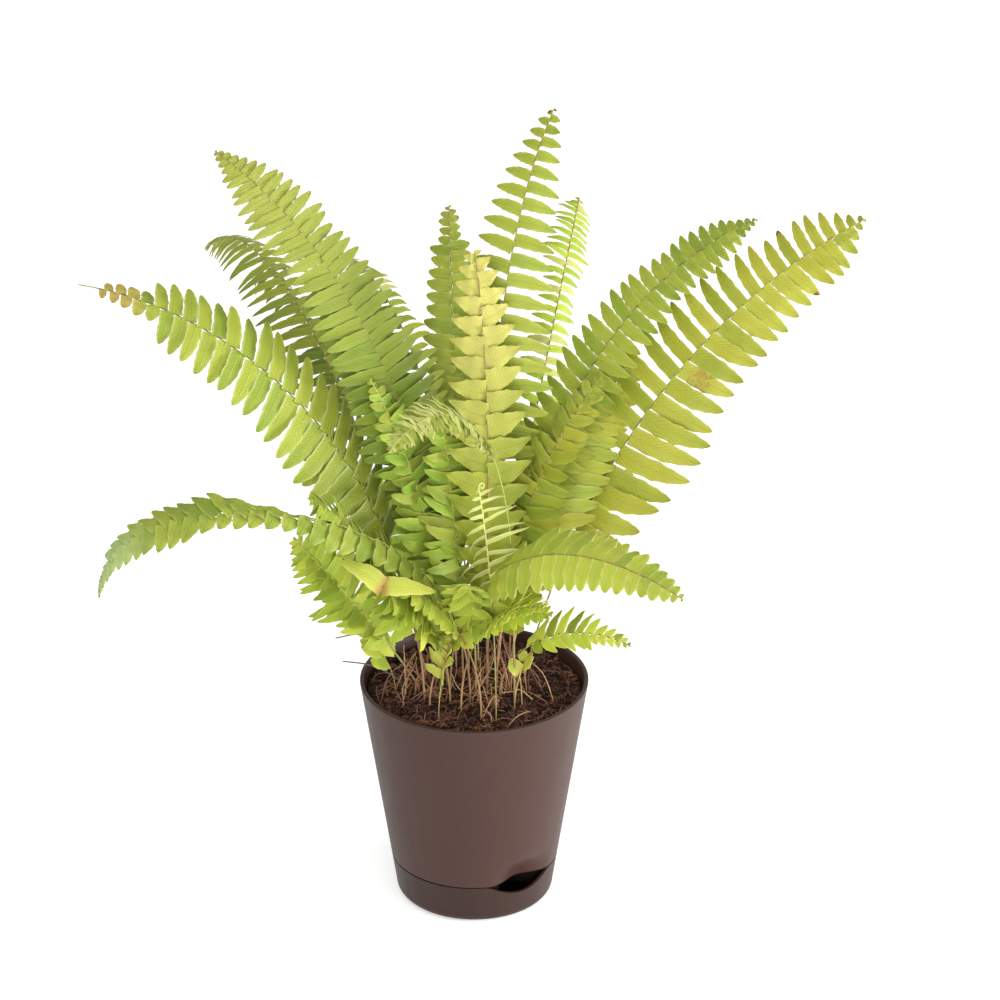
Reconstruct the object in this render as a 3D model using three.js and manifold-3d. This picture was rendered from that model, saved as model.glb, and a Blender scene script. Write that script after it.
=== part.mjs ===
// Potted fern: a young sword fern in a two-part self-watering pot.
// Millimetres, +Z up. The origin is the middle of the flat base, and the front faces -Y.
import * as THREE from 'three';
import { mergeVertices } from 'three/addons/utils/BufferGeometryUtils.js';
import Module from 'manifold-3d';

const wasm = await Module();
wasm.setup();

// Driving dimensions of the pot
const POT_HEIGHT = 130;
const RIM_RADIUS = 62.5;
const SEAM_HEIGHT = 24;
const SEAM_RADIUS = 46;
const SEAM_GAP = 0.5;
const WALL = 2.4;
const TRAY_WALL = 2;
const BASE_ROUND = 6;
const NECK_BOTTOM = 14;
const NECK_GAP = 0.7;
const FLOOR = 2;
const FOOT_TOP_RADIUS = 14;
const FOOT_BOTTOM_RADIUS = 11;
const FOOT_BOTTOM = 2.6;
const FOOT_WALL = 1.8;
const FOOT_SLOT_WIDTH = 3;
const FOOT_SLOT_HEIGHTS = [6, 12];
const DRAIN_HOLES = 6;
const DRAIN_RING = 20;
const DRAIN_RADIUS = 2.5;
const SIDES = 40;

// The filling mouth: the planter's wall is dented there, its neck below stands back further
// (recess), and the tray's edge is scooped
const MOUTH_ANGLE = -54;
const MOUTH_HALF_WIDTH = 27;
const MOUTH_DENT = 7.4;
const MOUTH_FADE_HEIGHT = 19;
const MOUTH_SCOOP = 6.6;
const MOUTH_RECESS = 8;

// Driving dimensions of the soil
const SOIL_EDGE_HEIGHT = 123.4;
const SOIL_MOUND = 3.2;
const SOIL_GAP = 0.4;
const SOIL_RINGS = [18, 36, 50];
const SOIL_SIDE_GAP = 0.9;
const SOIL_SHOULDER_RISE = 2.5;
const HOLE_RADIUS = 2.3;
const HOLE_BOTTOM = 113.6;

// Driving dimensions of every frond
const FROND_START = 128;
const PETIOLE_BOTTOM = 114;
const PETIOLE_BEND = 126;
const PETIOLE_STEPS = 4;
const RACHIS_WIDTH = [2.2, 1.0];
const RACHIS_DEPTH = [2.2, 0.9];
const LEAFLET_THICKNESS = 0.66;
const TIP_CROWDING = 1.25;
const CURVE_STEPS = 80;
const DROOP_POWER = 8;

// A frond's outline: the share of its lowest leaflets, where they reach full length, and how
// bluntly the blade ends. A leaflet's outline: its half width at the shoulders, as a share of the
// step between pairs, and its sag.
const LOWEST_SHARE = 0.55;
const FULL_FROM = 0.22;
const BLADE_BLUNTNESS = 0.62;
const LEAFLET_HALF_WIDTH = 0.4;
const SHOULDERS = [0.62, 0.66];
const SHOULDER_SAG = 0.02;
const TIP_SAG = 0.09;

// Clearances between the middle surfaces of neighbouring plant parts. A line is tested as a
// triangle of a hair's width.
const LEAFLET_GAP = 1.35;
const RACHIS_GAP = 2.3;
const STALK_LEAFLET_GAP = 1.8;
const STALK_RACHIS_GAP = 2.7;
const RIM_CLEARANCE = 2.5;
const HAIR = 0.01;

// What a leaflet with no room tries: shorter lengths, and at each of them these turns up and down
const SHORTER_SHARES = [1, 0.8, 0.6, 0.4];
const LEAFLET_LIFTS = [0, 10, -10, 20, -20, 32, -32, 46, -46];
const STALK_TURNS = [0, 8, -8, 16, -16];

const LIME = 0x9fb32c;
const FRESH_GREEN = 0x86a62a;
const DEEP_GREEN = 0x6f9430;
const YELLOW_GREEN = 0xb9b93a;
const POT_BROWN = 0x6b5049;
const SOIL_BROWN = 0x2f2019;
const STRAW = 0xa9824a;
const WIRY_BROWN = 0x4a3b35;

// One entry for each frond. stand: where it leaves the soil, the compass way that it grows
// (0 right, 90 back, 180 left), its climb at the soil and at the tip, where the arch sets in
// (bend), how far it turns aside (swerve) and how much its end hangs (droop). blade: its length,
// the share with no leaflets, the longest leaflet, the pairs of leaflets, how far they lean to
// the tip (sweep), how the blade is turned about its rachis (roll), how far its leaflets rise
// (lift), how pointed its end is (blunt, where it isn't the usual one) and how much more the
// leaflets of its first and second side lean to the tip (lean, where the sides differ).
const FRONDS = [
  {
    name: 'front_mid_frond', colour: YELLOW_GREEN,
    stand: { root: [7, -8], heading: 76, rise: 88, tip: 58, bend: 1.6, swerve: 30 },
    blade: { length: 245, bare: 0.17, half: 25, pairs: 19, sweep: 8, roll: 0, lift: 0, blunt: 0.45 },
  },
  {
    name: 'far_left_frond', colour: LIME,
    stand: { root: [-27, 3], heading: 166, rise: 83, tip: 3, bend: 1.3, swerve: 0 },
    blade: { length: 314, bare: 0.26, half: 33, pairs: 23, sweep: 22, roll: 32, lift: -6, lean: [0, -38] },
  },
  {
    name: 'far_right_frond', colour: LIME,
    stand: { root: [27, 2], heading: 31, rise: 75, tip: 13, bend: 1.1, swerve: 1 },
    blade: { length: 330, bare: 0.24, half: 38, pairs: 25, sweep: 8, roll: -35, lift: 0, lean: [-30, 0] },
  },
  {
    name: 'right_mid_frond', colour: LIME,
    stand: { root: [20, -6], heading: 37, rise: 87, tip: 11, bend: 1.35, swerve: 22 },
    blade: { length: 209, bare: 0.3, half: 30, pairs: 13, sweep: 20, roll: -30, lift: 0 },
  },
  {
    name: 'tall_left_frond', colour: LIME,
    stand: { root: [-17, 11], heading: 141, rise: 89, tip: 22, bend: 1.4, swerve: 6 },
    blade: { length: 331, bare: 0.24, half: 31, pairs: 24, sweep: 9, roll: 20, lift: 0 },
  },
  {
    name: 'right_back_frond', colour: LIME,
    stand: { root: [19, 9], heading: 43, rise: 89, tip: 6, bend: 1.3, swerve: -9 },
    blade: { length: 311, bare: 0.28, half: 25, pairs: 22, sweep: 13, roll: -20, lift: 0, lean: [-20, 0] },
  },
  {
    name: 'left_drooping_frond', colour: LIME,
    stand: { root: [-2, -21], heading: 233, rise: 89, tip: -32, bend: 0.96, swerve: -66, droop: -62 },
    blade: { length: 314, bare: 0.24, half: 27, pairs: 20, sweep: 20, roll: 10, lift: -22 },
  },
  {
    name: 'right_low_frond', colour: LIME,
    stand: { root: [-13, -8], heading: -54, rise: 89, tip: -20, bend: 0.98, swerve: 20 },
    blade: { length: 231, bare: 0.3, half: 24, pairs: 18, sweep: 8, roll: -35, lift: -8 },
  },
  {
    name: 'tallest_frond', colour: LIME,
    stand: { root: [7, 13], heading: 81, rise: 89, tip: 35, bend: 2, swerve: -17 },
    blade: { length: 323, bare: 0.25, half: 28, pairs: 20, sweep: 15, roll: -5, lift: 0 },
  },
  {
    name: 'slim_back_frond', colour: LIME,
    stand: { root: [-3, 15], heading: 100, rise: 79, tip: 24, bend: 1.4, swerve: -9 },
    blade: { length: 269, bare: 0.35, half: 20, pairs: 15, sweep: 12, roll: 0, lift: 0 },
  },
  {
    name: 'narrow_right_frond', colour: FRESH_GREEN,
    stand: { root: [13, 19], heading: 70, rise: 76, tip: 10, bend: 0.9, swerve: 13 },
    blade: { length: 302, bare: 0.3, half: 15, pairs: 17, sweep: 12, roll: -30, lift: 0 },
  },
  {
    name: 'hooked_frond', colour: FRESH_GREEN,
    stand: { root: [-10, 20], heading: 122, rise: 86, tip: -27, bend: 2.5, swerve: -2 },
    blade: { length: 277, bare: 0.42, half: 24, pairs: 13, sweep: 20, roll: 10, lift: -20 },
  },
  {
    name: 'behind_left_frond', colour: FRESH_GREEN,
    stand: { root: [-27, 15], heading: 133, rise: 67, tip: -44, bend: 2.6, swerve: -15 },
    blade: { length: 329, bare: 0.4, half: 28, pairs: 16, sweep: 15, roll: 10, lift: -10 },
  },
  {
    name: 'right_lowest_frond', colour: FRESH_GREEN,
    stand: { root: [14, -13], heading: -12, rise: 89, tip: -26, bend: 0.85, swerve: 0 },
    blade: { length: 95, bare: 0.36, half: 19, pairs: 9, sweep: 20, roll: -30, lift: 0 },
  },
  {
    name: 'left_low_frond', colour: FRESH_GREEN,
    stand: { root: [-30, -6], heading: 175, rise: 58, tip: 45, bend: 1.2, swerve: 0 },
    blade: { length: 110, bare: 0.28, half: 30, pairs: 9, sweep: 15, roll: 30, lift: 0 },
  },
  {
    name: 'front_left_frond', colour: FRESH_GREEN,
    stand: { root: [-13, -19], heading: 212, rise: 88, tip: 34, bend: 1, swerve: 0 },
    blade: { length: 112, bare: 0.3, half: 30, pairs: 9, sweep: 12, roll: 12, lift: -12 },
  },
  {
    name: 'front_low_frond', colour: FRESH_GREEN,
    stand: { root: [-24, -24], heading: -22, rise: 88, tip: -2, bend: 1.0, swerve: 4 },
    blade: { length: 106, bare: 0.38, half: 23, pairs: 8, sweep: 12, roll: -20, lift: 0 },
  },
  {
    name: 'front_centre_frond', colour: FRESH_GREEN,
    stand: { root: [1, -14], heading: 262, rise: 89, tip: 32, bend: 1.4, swerve: 0 },
    blade: { length: 100, bare: 0.42, half: 24, pairs: 7, sweep: 10, roll: 0, lift: -8 },
  },
  {
    name: 'left_mid_frond', colour: LIME,
    stand: { root: [-27, -17], heading: 200, rise: 88, tip: 35, bend: 1.2, swerve: 0 },
    blade: { length: 150, bare: 0.34, half: 32, pairs: 11, sweep: 14, roll: 20, lift: -10 },
  },
  {
    name: 'low_centre_frond', colour: LIME,
    stand: { root: [-7, -29], heading: -40, rise: 89, tip: 14, bend: 1.15, swerve: 0 },
    blade: { length: 106, bare: 0.46, half: 24, pairs: 7, sweep: 10, roll: -10, lift: -4 },
  },
  {
    name: 'low_front_frond', colour: FRESH_GREEN,
    stand: { root: [4, -38], heading: 190, rise: 89, tip: 18, bend: 1.2, swerve: 0 },
    blade: { length: 116, bare: 0.46, half: 24, pairs: 8, sweep: 10, roll: 10, lift: -4 },
  },
  {
    name: 'front_curl_frond', colour: YELLOW_GREEN,
    stand: { root: [22, -21], heading: 236, rise: 89, tip: -35, bend: 3, swerve: -4 },
    blade: { length: 264, bare: 0.6, half: 22, pairs: 14, sweep: 16, roll: 22, lift: 0 },
  },
  {
    name: 'young_sprout_frond', colour: YELLOW_GREEN,
    stand: { root: [12, -41], heading: 130, rise: 89, tip: 76, bend: 1.5, swerve: 0 },
    blade: { length: 134, bare: 0.58, half: 21, pairs: 7, sweep: 10, roll: 0, lift: 8 },
  },
  {
    name: 'inner_left_frond', colour: DEEP_GREEN,
    stand: { root: [-15, 0], heading: 150, rise: 88, tip: 56, bend: 1.4, swerve: 0 },
    blade: { length: 180, bare: 0.14, half: 27, pairs: 8, sweep: 15, roll: 20, lift: 0 },
  },
  {
    name: 'inner_front_frond', colour: DEEP_GREEN,
    stand: { root: [-6, -3], heading: 120, rise: 88, tip: 70, bend: 1.4, swerve: 0 },
    blade: { length: 165, bare: 0.14, half: 27, pairs: 8, sweep: 12, roll: 0, lift: 0 },
  },
  {
    name: 'inner_right_frond', colour: DEEP_GREEN,
    stand: { root: [12, -1], heading: 20, rise: 87, tip: 48, bend: 1.4, swerve: 0 },
    blade: { length: 190, bare: 0.15, half: 27, pairs: 9, sweep: 12, roll: -20, lift: 0 },
  },
  {
    name: 'inner_back_frond', colour: DEEP_GREEN,
    stand: { root: [2, 25], heading: 94, rise: 80, tip: 8, bend: 1.2, swerve: 0 },
    blade: { length: 215, bare: 0.3, half: 28, pairs: 9, sweep: 12, roll: 0, lift: 0 },
  },
  {
    name: 'back_left_frond', colour: DEEP_GREEN,
    stand: { root: [-18, 26], heading: 114, rise: 68, tip: -20, bend: 1, swerve: 0 },
    blade: { length: 155, bare: 0.26, half: 26, pairs: 8, sweep: 12, roll: 0, lift: -10 },
  },
  {
    name: 'back_right_frond', colour: DEEP_GREEN,
    stand: { root: [20, 27], heading: 60, rise: 68, tip: -20, bend: 1, swerve: 0 },
    blade: { length: 160, bare: 0.26, half: 26, pairs: 8, sweep: 12, roll: 0, lift: -10 },
  },
  {
    name: 'left_sprig', colour: FRESH_GREEN,
    stand: { root: [-43, -6], heading: 150, rise: 82, tip: 30, bend: 1, swerve: 0 },
    blade: { length: 32, bare: 0.4, half: 9, pairs: 2, sweep: 25, roll: 30, lift: 10 },
  },
  {
    name: 'middle_sprig', colour: YELLOW_GREEN,
    stand: { root: [-19, -37], heading: 20, rise: 89, tip: 70, bend: 1, swerve: 0 },
    blade: { length: 44, bare: 0.5, half: 13, pairs: 3, sweep: 12, roll: 0, lift: 4 },
  },
  {
    name: 'right_sprig', colour: YELLOW_GREEN,
    stand: { root: [22, -28], heading: 60, rise: 86, tip: 30, bend: 1, swerve: 0 },
    blade: { length: 30, bare: 0.55, half: 8, pairs: 2, sweep: 25, roll: 0, lift: 10 },
  },
];

// Dry stalks of earlier fronds, each clump growing from one rhizome lump sunk in the soil
const CROWNS = [
  { name: 'left_crown_stalks', centre: [-22, -9], stalks: 10, firstAngle: 20 },
  { name: 'right_crown_stalks', centre: [8, -25], stalks: 10, firstAngle: 5 },
];
const RHIZOME_RADII = [4.6, 4.2, 6];
const RHIZOME_HEIGHT = 127;
const RHIZOME_GAP = 0.4;
const STALK_WIDTH = 1.3;
const STALK_LENGTH = [20, 34];
const STALK_CLIMB = [22, 62];
const STALK_SAG = 0.25;
const STALK_START = 1.5;

// Thin wiry runners that reach out over the rim
const RUNNERS = [
  {
    name: 'upper_runner',
    path: [[-37, 9, 114], [-37, 9, 130], [-46, 13, 141], [-62, 18, 147], [-76, 20, 144]],
  },
  {
    name: 'lower_runner',
    path: [[-40, -1, 114], [-40, -1, 127], [-48, 3, 132], [-58, 6, 135], [-72, 8, 136]],
  },
];
const RUNNER_WIDTH = 1.2;

const up = new THREE.Vector3(0, 0, 1);
const radians = THREE.MathUtils.degToRad;
const lerp = THREE.MathUtils.lerp;

// A geometry as a solid whose shared corners are merged.
function toSolid(geometry) {
  const bare = geometry.clone();
  for (const name of Object.keys(bare.attributes)) {
    if (name !== 'position') bare.deleteAttribute(name);
  }
  const merged = mergeVertices(bare, 1e-4);
  return new wasm.Manifold(new wasm.Mesh({
    numProp: 3,
    vertProperties: new Float32Array(merged.attributes.position.array),
    triVerts: new Uint32Array(merged.index.array),
  }));
}

// A solid back as a geometry.
function toGeometry(solid) {
  const { vertProperties, triVerts } = solid.getMesh();
  const geometry = new THREE.BufferGeometry();
  geometry.setAttribute('position', new THREE.BufferAttribute(new Float32Array(vertProperties), 3));
  geometry.setIndex(new THREE.BufferAttribute(new Uint32Array(triVerts), 1));
  geometry.computeVertexNormals();
  return geometry;
}

// A named mesh with its material.
function piece(name, geometry, colour, roughness) {
  const material = new THREE.MeshStandardMaterial({ color: colour, roughness, metalness: 0 });
  const mesh = new THREE.Mesh(geometry, material);
  mesh.name = name;
  return mesh;
}

// A closed profile of [radius, height] points, turned about Z.
function turned(profile) {
  const points = profile.map(([radius, height]) => new THREE.Vector2(radius, height));
  const geometry = new THREE.LatheGeometry(points, SIDES);
  geometry.rotateX(Math.PI / 2);
  return geometry;
}

// An upright prism or cone, from one height to another.
function post(x, y, bottom, top, bottomRadius, topRadius, sides = 8) {
  const geometry = new THREE.CylinderGeometry(topRadius, bottomRadius, top - bottom, sides);
  geometry.rotateX(Math.PI / 2);
  geometry.translate(x, y, (top + bottom) / 2);
  return toSolid(geometry);
}

// How much of the mouth's shape there is at a point: 1 in its middle, 0 outside it.
function mouthShare(x, y) {
  const angle = THREE.MathUtils.radToDeg(Math.atan2(y, x));
  const offset = Math.abs(THREE.MathUtils.euclideanModulo(angle - MOUTH_ANGLE + 180, 360) - 180);
  if (offset >= MOUTH_HALF_WIDTH) return 0;
  return Math.cos((Math.PI / 2) * (offset / MOUTH_HALF_WIDTH)) ** 2;
}

// Moves the wall inwards at the mouth: the neck and what is inside it fully, fading out above.
function dent(geometry, innermost) {
  const position = geometry.attributes.position;
  for (let i = 0; i < position.count; i++) {
    const [x, y, z] = [position.getX(i), position.getY(i), position.getZ(i)];
    const radius = Math.hypot(x, y);
    if (radius < innermost) continue;
    const above = THREE.MathUtils.clamp((z - SEAM_HEIGHT) / MOUTH_FADE_HEIGHT, 0, 1);
    const isNeck = z < SEAM_HEIGHT + SOIL_SHOULDER_RISE + 0.1 && radius < neckRadius(SEAM_HEIGHT) + 0.1;
    const fullDepth = MOUTH_DENT * (1 - above * above * (3 - 2 * above)) + (isNeck ? MOUTH_RECESS : 0);
    const share = (radius - fullDepth * mouthShare(x, y)) / radius;
    position.setXY(i, x * share, y * share);
  }
  return geometry;
}

// The outer radius of the pot at a height, above and below the seam alike.
function outerRadius(height) {
  const slope = (RIM_RADIUS - SEAM_RADIUS) / (POT_HEIGHT - SEAM_HEIGHT);
  return SEAM_RADIUS + (height - SEAM_HEIGHT) * slope;
}

const neckRadius = (height) => outerRadius(height) - TRAY_WALL - NECK_GAP;
const wallSteps = [18, 12, 6].map((above) => SEAM_HEIGHT + above);

// The upper pot: tapered wall, neck inside the tray, floor, and the hollow foot in the middle.
function makePlanter() {
  const floorTop = NECK_BOTTOM + FLOOR;
  const profile = [
    [outerRadius(POT_HEIGHT), POT_HEIGHT],
    ...wallSteps.map((height) => [outerRadius(height), height]),
    [outerRadius(SEAM_HEIGHT), SEAM_HEIGHT],
    [neckRadius(SEAM_HEIGHT), SEAM_HEIGHT],
    [neckRadius(NECK_BOTTOM), NECK_BOTTOM],
    [FOOT_TOP_RADIUS, NECK_BOTTOM],
    [FOOT_BOTTOM_RADIUS, FOOT_BOTTOM],
    [0, FOOT_BOTTOM],
    [0, FOOT_BOTTOM + FOOT_WALL],
    [FOOT_BOTTOM_RADIUS - FOOT_WALL, FOOT_BOTTOM + FOOT_WALL],
    [FOOT_TOP_RADIUS - FOOT_WALL, floorTop],
    [neckRadius(floorTop) - WALL, floorTop],
    [neckRadius(SEAM_HEIGHT) - WALL, SEAM_HEIGHT],
    ...wallSteps.toReversed().map((height) => [outerRadius(height) - WALL, height]),
    [outerRadius(POT_HEIGHT) - WALL, POT_HEIGHT],
    [outerRadius(POT_HEIGHT), POT_HEIGHT],
  ].reverse();
  let solid = toSolid(dent(turned(profile), FOOT_TOP_RADIUS + 1));
  for (const hole of floorHoles()) solid = solid.subtract(hole);
  for (const slot of footSlots()) solid = solid.subtract(slot);
  return piece('planter', toGeometry(solid), POT_BROWN, 0.5);
}

// Drain holes in a ring through the planter's floor.
function floorHoles() {
  return Array.from({ length: DRAIN_HOLES }, (_, i) => {
    const angle = radians(i * (360 / DRAIN_HOLES));
    const [x, y] = [DRAIN_RING * Math.cos(angle), DRAIN_RING * Math.sin(angle)];
    return post(x, y, NECK_BOTTOM - 1, NECK_BOTTOM + FLOOR + 1, DRAIN_RADIUS, DRAIN_RADIUS, 6);
  });
}

// Slots through the foot's wall, which let the water reach the soil.
function footSlots() {
  const [bottom, top] = FOOT_SLOT_HEIGHTS;
  const inner = FOOT_BOTTOM_RADIUS - FOOT_WALL - SOIL_GAP;
  return [0, 90].map((turn) => {
    const slot = new THREE.BoxGeometry(2 * FOOT_TOP_RADIUS + 4, FOOT_SLOT_WIDTH, top - bottom);
    slot.translate(0, 0, (top + bottom) / 2);
    slot.rotateZ(radians(turn));
    return toSolid(slot).subtract(post(0, 0, bottom - 1, top + 1, inner, inner, 12));
  });
}

// The water tray below the seam, with a rounded foot and a scooped edge at the mouth.
function makeReservoir() {
  const top = SEAM_HEIGHT - SEAM_GAP;
  const flatRadius = outerRadius(BASE_ROUND) - BASE_ROUND;
  const round = [0, 30, 60, 90].map((angle) => [
    flatRadius + BASE_ROUND * Math.sin(radians(angle)),
    BASE_ROUND * (1 - Math.cos(radians(angle))),
  ]);
  const profile = [
    [0, 0],
    ...round,
    [outerRadius(top), top],
    [outerRadius(top) - TRAY_WALL, top],
    [outerRadius(BASE_ROUND) - TRAY_WALL, BASE_ROUND],
    [flatRadius, TRAY_WALL],
    [0, TRAY_WALL],
  ];
  const geometry = turned(profile);
  const position = geometry.attributes.position;
  for (let i = 0; i < position.count; i++) {
    const [x, y, z] = [position.getX(i), position.getY(i), position.getZ(i)];
    if (z < top - 0.1) continue;
    const drop = MOUTH_SCOOP * Math.sqrt(mouthShare(x, y));
    const share = 1 - (outerRadius(top) - outerRadius(top - drop)) / outerRadius(top);
    position.setXYZ(i, x * share, y * share, z - drop);
  }
  return piece('reservoir', toGeometry(toSolid(geometry)), POT_BROWN, 0.5);
}

// How high the soil stands at a point: a low mound with shallow lumps.
function soilHeight(x, y) {
  const mound = SOIL_MOUND * (1 - (Math.hypot(x, y) / RIM_RADIUS) ** 2);
  const lumps = 0.6 * Math.sin(x * 0.19 + 1) * Math.cos(y * 0.23) + 0.4 * Math.sin(x * 0.11 - y * 0.31);
  return SOIL_EDGE_HEIGHT + mound + lumps;
}

// The potting soil with its column in the foot, and a plain hole for everything that stands in it.
function makeSoil(holes) {
  const floorTop = NECK_BOTTOM + FLOOR + SOIL_GAP;
  const inside = (height) => outerRadius(height) - WALL - SOIL_SIDE_GAP;
  const profile = [
    [0, SOIL_EDGE_HEIGHT],
    ...SOIL_RINGS.map((radius) => [radius, SOIL_EDGE_HEIGHT]),
    [inside(SOIL_EDGE_HEIGHT), SOIL_EDGE_HEIGHT],
    ...wallSteps.map((height) => [inside(height), height]),
    [neckRadius(SEAM_HEIGHT) - WALL - SOIL_SIDE_GAP, SEAM_HEIGHT + SOIL_SHOULDER_RISE],
    [neckRadius(floorTop) - WALL - SOIL_SIDE_GAP, floorTop],
    [FOOT_TOP_RADIUS - FOOT_WALL - SOIL_GAP, floorTop],
    [FOOT_BOTTOM_RADIUS - FOOT_WALL - SOIL_GAP, FOOT_BOTTOM + FOOT_WALL + SOIL_GAP],
    [0, FOOT_BOTTOM + FOOT_WALL + SOIL_GAP],
  ].reverse();
  const geometry = dent(turned(profile), FOOT_TOP_RADIUS + 1);
  const position = geometry.attributes.position;
  for (let i = 0; i < position.count; i++) {
    if (position.getZ(i) < SOIL_EDGE_HEIGHT - 0.1) continue;
    position.setZ(i, soilHeight(position.getX(i), position.getY(i)));
  }
  let solid = toSolid(geometry);
  for (const hole of holes) solid = solid.subtract(hole);
  return piece('potting_soil', toGeometry(solid), SOIL_BROWN, 0.95);
}

// Points and local axes along a frond's rachis, from the soil to the tip.
function rachisCurve({ root, heading, rise, tip, bend, swerve, droop = 0 }, { length, roll }) {
  const points = [new THREE.Vector3(root[0], root[1], FROND_START)];
  const frames = [];
  for (let i = 0; i < CURVE_STEPS; i++) {
    const share = (i + 0.5) / CURVE_STEPS;
    const climb = radians(lerp(rise, tip, share ** bend) + droop * share ** DROOP_POWER);
    const turn = radians(heading + swerve * share);
    const along = new THREE.Vector3(Math.cos(climb) * Math.cos(turn), Math.cos(climb) * Math.sin(turn),
      Math.sin(climb));
    const level = new THREE.Vector3(Math.sin(turn), -Math.cos(turn), 0);
    const face = new THREE.Vector3().crossVectors(level, along);
    frames.push({
      along,
      across: level.clone().applyAxisAngle(along, -radians(roll)),
      face: face.clone().applyAxisAngle(along, -radians(roll)),
    });
    points.push(points[i].clone().addScaledVector(along, length / CURVE_STEPS));
  }
  return { points, frames };
}

// The place and axes at a share of the rachis's length.
function placeAt({ points, frames }, share) {
  const step = THREE.MathUtils.clamp(share, 0, 1) * CURVE_STEPS;
  const low = Math.min(Math.floor(step), CURVE_STEPS - 1);
  const point = points[low].clone().lerp(points[low + 1], step - low);
  return { point, ...frames[low] };
}

// The length of a leaflet as a share of the longest one: 0 at the lowest pair and 1 at the tip.
function leafletShare(x, blunt = BLADE_BLUNTNESS) {
  const grow = lerp(LOWEST_SHARE, 1, Math.min(1, x / FULL_FROM));
  return grow * Math.sin((Math.PI / 2) * (1 - x) ** blunt);
}

// The stations of a frond: the buried and bare petiole, then one for each pair of leaflets.
function makeStations({ stand, blade }) {
  const curve = rachisCurve(stand, blade);
  const stations = [PETIOLE_BOTTOM, PETIOLE_BEND].map((height) => {
    const start = placeAt(curve, 0);
    start.point.z = height;
    start.along = up.clone();
    start.across = new THREE.Vector3(Math.sin(radians(stand.heading)), -Math.cos(radians(stand.heading)), 0);
    start.face = new THREE.Vector3().crossVectors(start.across, up);
    return { ...start, size: 0, pair: -1 };
  });
  for (let i = 1; i < PETIOLE_STEPS; i++) {
    const share = (blade.bare * i) / PETIOLE_STEPS;
    stations.push({ ...placeAt(curve, share), size: share, pair: -1 });
  }
  for (let i = 0; i <= blade.pairs; i++) {
    const x = 1 - (1 - i / blade.pairs) ** TIP_CROWDING;
    const share = lerp(blade.bare, 1, x);
    stations.push({ ...placeAt(curve, share), size: share, pair: i, x });
  }
  return stations;
}

// The four corners of the rachis at a station: left and right, top and bottom.
function corners(station) {
  const { point, across, face, size } = station;
  const width = lerp(RACHIS_WIDTH[0], RACHIS_WIDTH[1], size) / 2;
  const depth = lerp(RACHIS_DEPTH[0], RACHIS_DEPTH[1], size) / 2;
  return [[1, 1], [-1, 1], [-1, -1], [1, -1]].map(([side, top]) => (
    point.clone().addScaledVector(across, side * width).addScaledVector(face, top * depth)));
}

// The middle points of one leaflet's low shoulder, tip and high shoulder.
function leafletOutline(low, high, side, blade, lift, share) {
  const base = low.point.clone().lerp(high.point, 0.5);
  const step = low.point.distanceTo(high.point);
  const across = low.across.clone().multiplyScalar(side);
  const risen = radians(blade.lift + lift);
  const outward = across.clone().multiplyScalar(Math.cos(risen)).addScaledVector(low.face, Math.sin(risen));
  const sweep = radians(blade.sweep + (blade.lean ?? [0, 0])[side > 0 ? 0 : 1]);
  const axis = outward.clone().multiplyScalar(Math.cos(sweep)).addScaledVector(low.along, Math.sin(sweep));
  const wide = low.along.clone().multiplyScalar(Math.cos(sweep)).addScaledVector(outward, -Math.sin(sweep));
  const normal = low.face.clone().multiplyScalar(Math.cos(risen)).addScaledVector(across, -Math.sin(risen));
  const length = blade.half * leafletShare((low.x + high.x) / 2, blade.blunt) * share;
  const halfWidth = LEAFLET_HALF_WIDTH * step * Math.cos(sweep);
  const at = (out, aside, drop) => base.clone()
    .addScaledVector(axis, out * length)
    .addScaledVector(wide, aside)
    .addScaledVector(normal, -drop * length);
  return {
    normal,
    outline: [
      at(SHOULDERS[0], -halfWidth, SHOULDER_SAG),
      at(1, halfWidth / 2, TIP_SAG),
      at(SHOULDERS[1], halfWidth, SHOULDER_SAG),
    ],
    ends: [low.point, high.point],
  };
}

// The leaflet's middle surface as triangles, split the same way as its faces.
function middleTriangles({ outline: [shoulder, tip, other], ends: [low, high] }) {
  return [[low, shoulder, other], [shoulder, tip, other], [low, other, high]];
}

// The least distance between two line pieces.
function segmentDistance(a, b, c, d) {
  const [u, v, w] = [b.clone().sub(a), d.clone().sub(c), a.clone().sub(c)];
  const [uu, uv, vv, uw, vw] = [u.dot(u), u.dot(v), v.dot(v), u.dot(w), v.dot(w)];
  const flat = uu * vv - uv * uv;
  let s = flat > 1e-9 ? THREE.MathUtils.clamp((uv * vw - vv * uw) / flat, 0, 1) : 0;
  const t = THREE.MathUtils.clamp((uv * s + vw) / vv, 0, 1);
  s = THREE.MathUtils.clamp((uv * t - uw) / uu, 0, 1);
  return w.addScaledVector(u, s).addScaledVector(v, -t).length();
}

const nearest = new THREE.Vector3();

// The least distance between two triangles.
function triangleDistance(first, second) {
  let least = Infinity;
  for (const [one, other] of [[first, second], [second, first]]) {
    const face = new THREE.Triangle(...one);
    const plane = face.getPlane(new THREE.Plane());
    for (let i = 0; i < 3; i++) {
      face.closestPointToPoint(other[i], nearest);
      least = Math.min(least, nearest.distanceTo(other[i]));
      const [start, end] = [other[i], other[(i + 1) % 3]];
      const [before, after] = [plane.distanceToPoint(start), plane.distanceToPoint(end)];
      if (before * after < 0) {
        const crossing = start.clone().lerp(end, before / (before - after));
        if (face.containsPoint(crossing)) return 0;
      }
    }
  }
  for (let i = 0; i < 3; i++) {
    for (let j = 0; j < 3; j++) {
      least = Math.min(least, segmentDistance(first[i], first[(i + 1) % 3], second[j], second[(j + 1) % 3]));
    }
  }
  return least;
}

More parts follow.
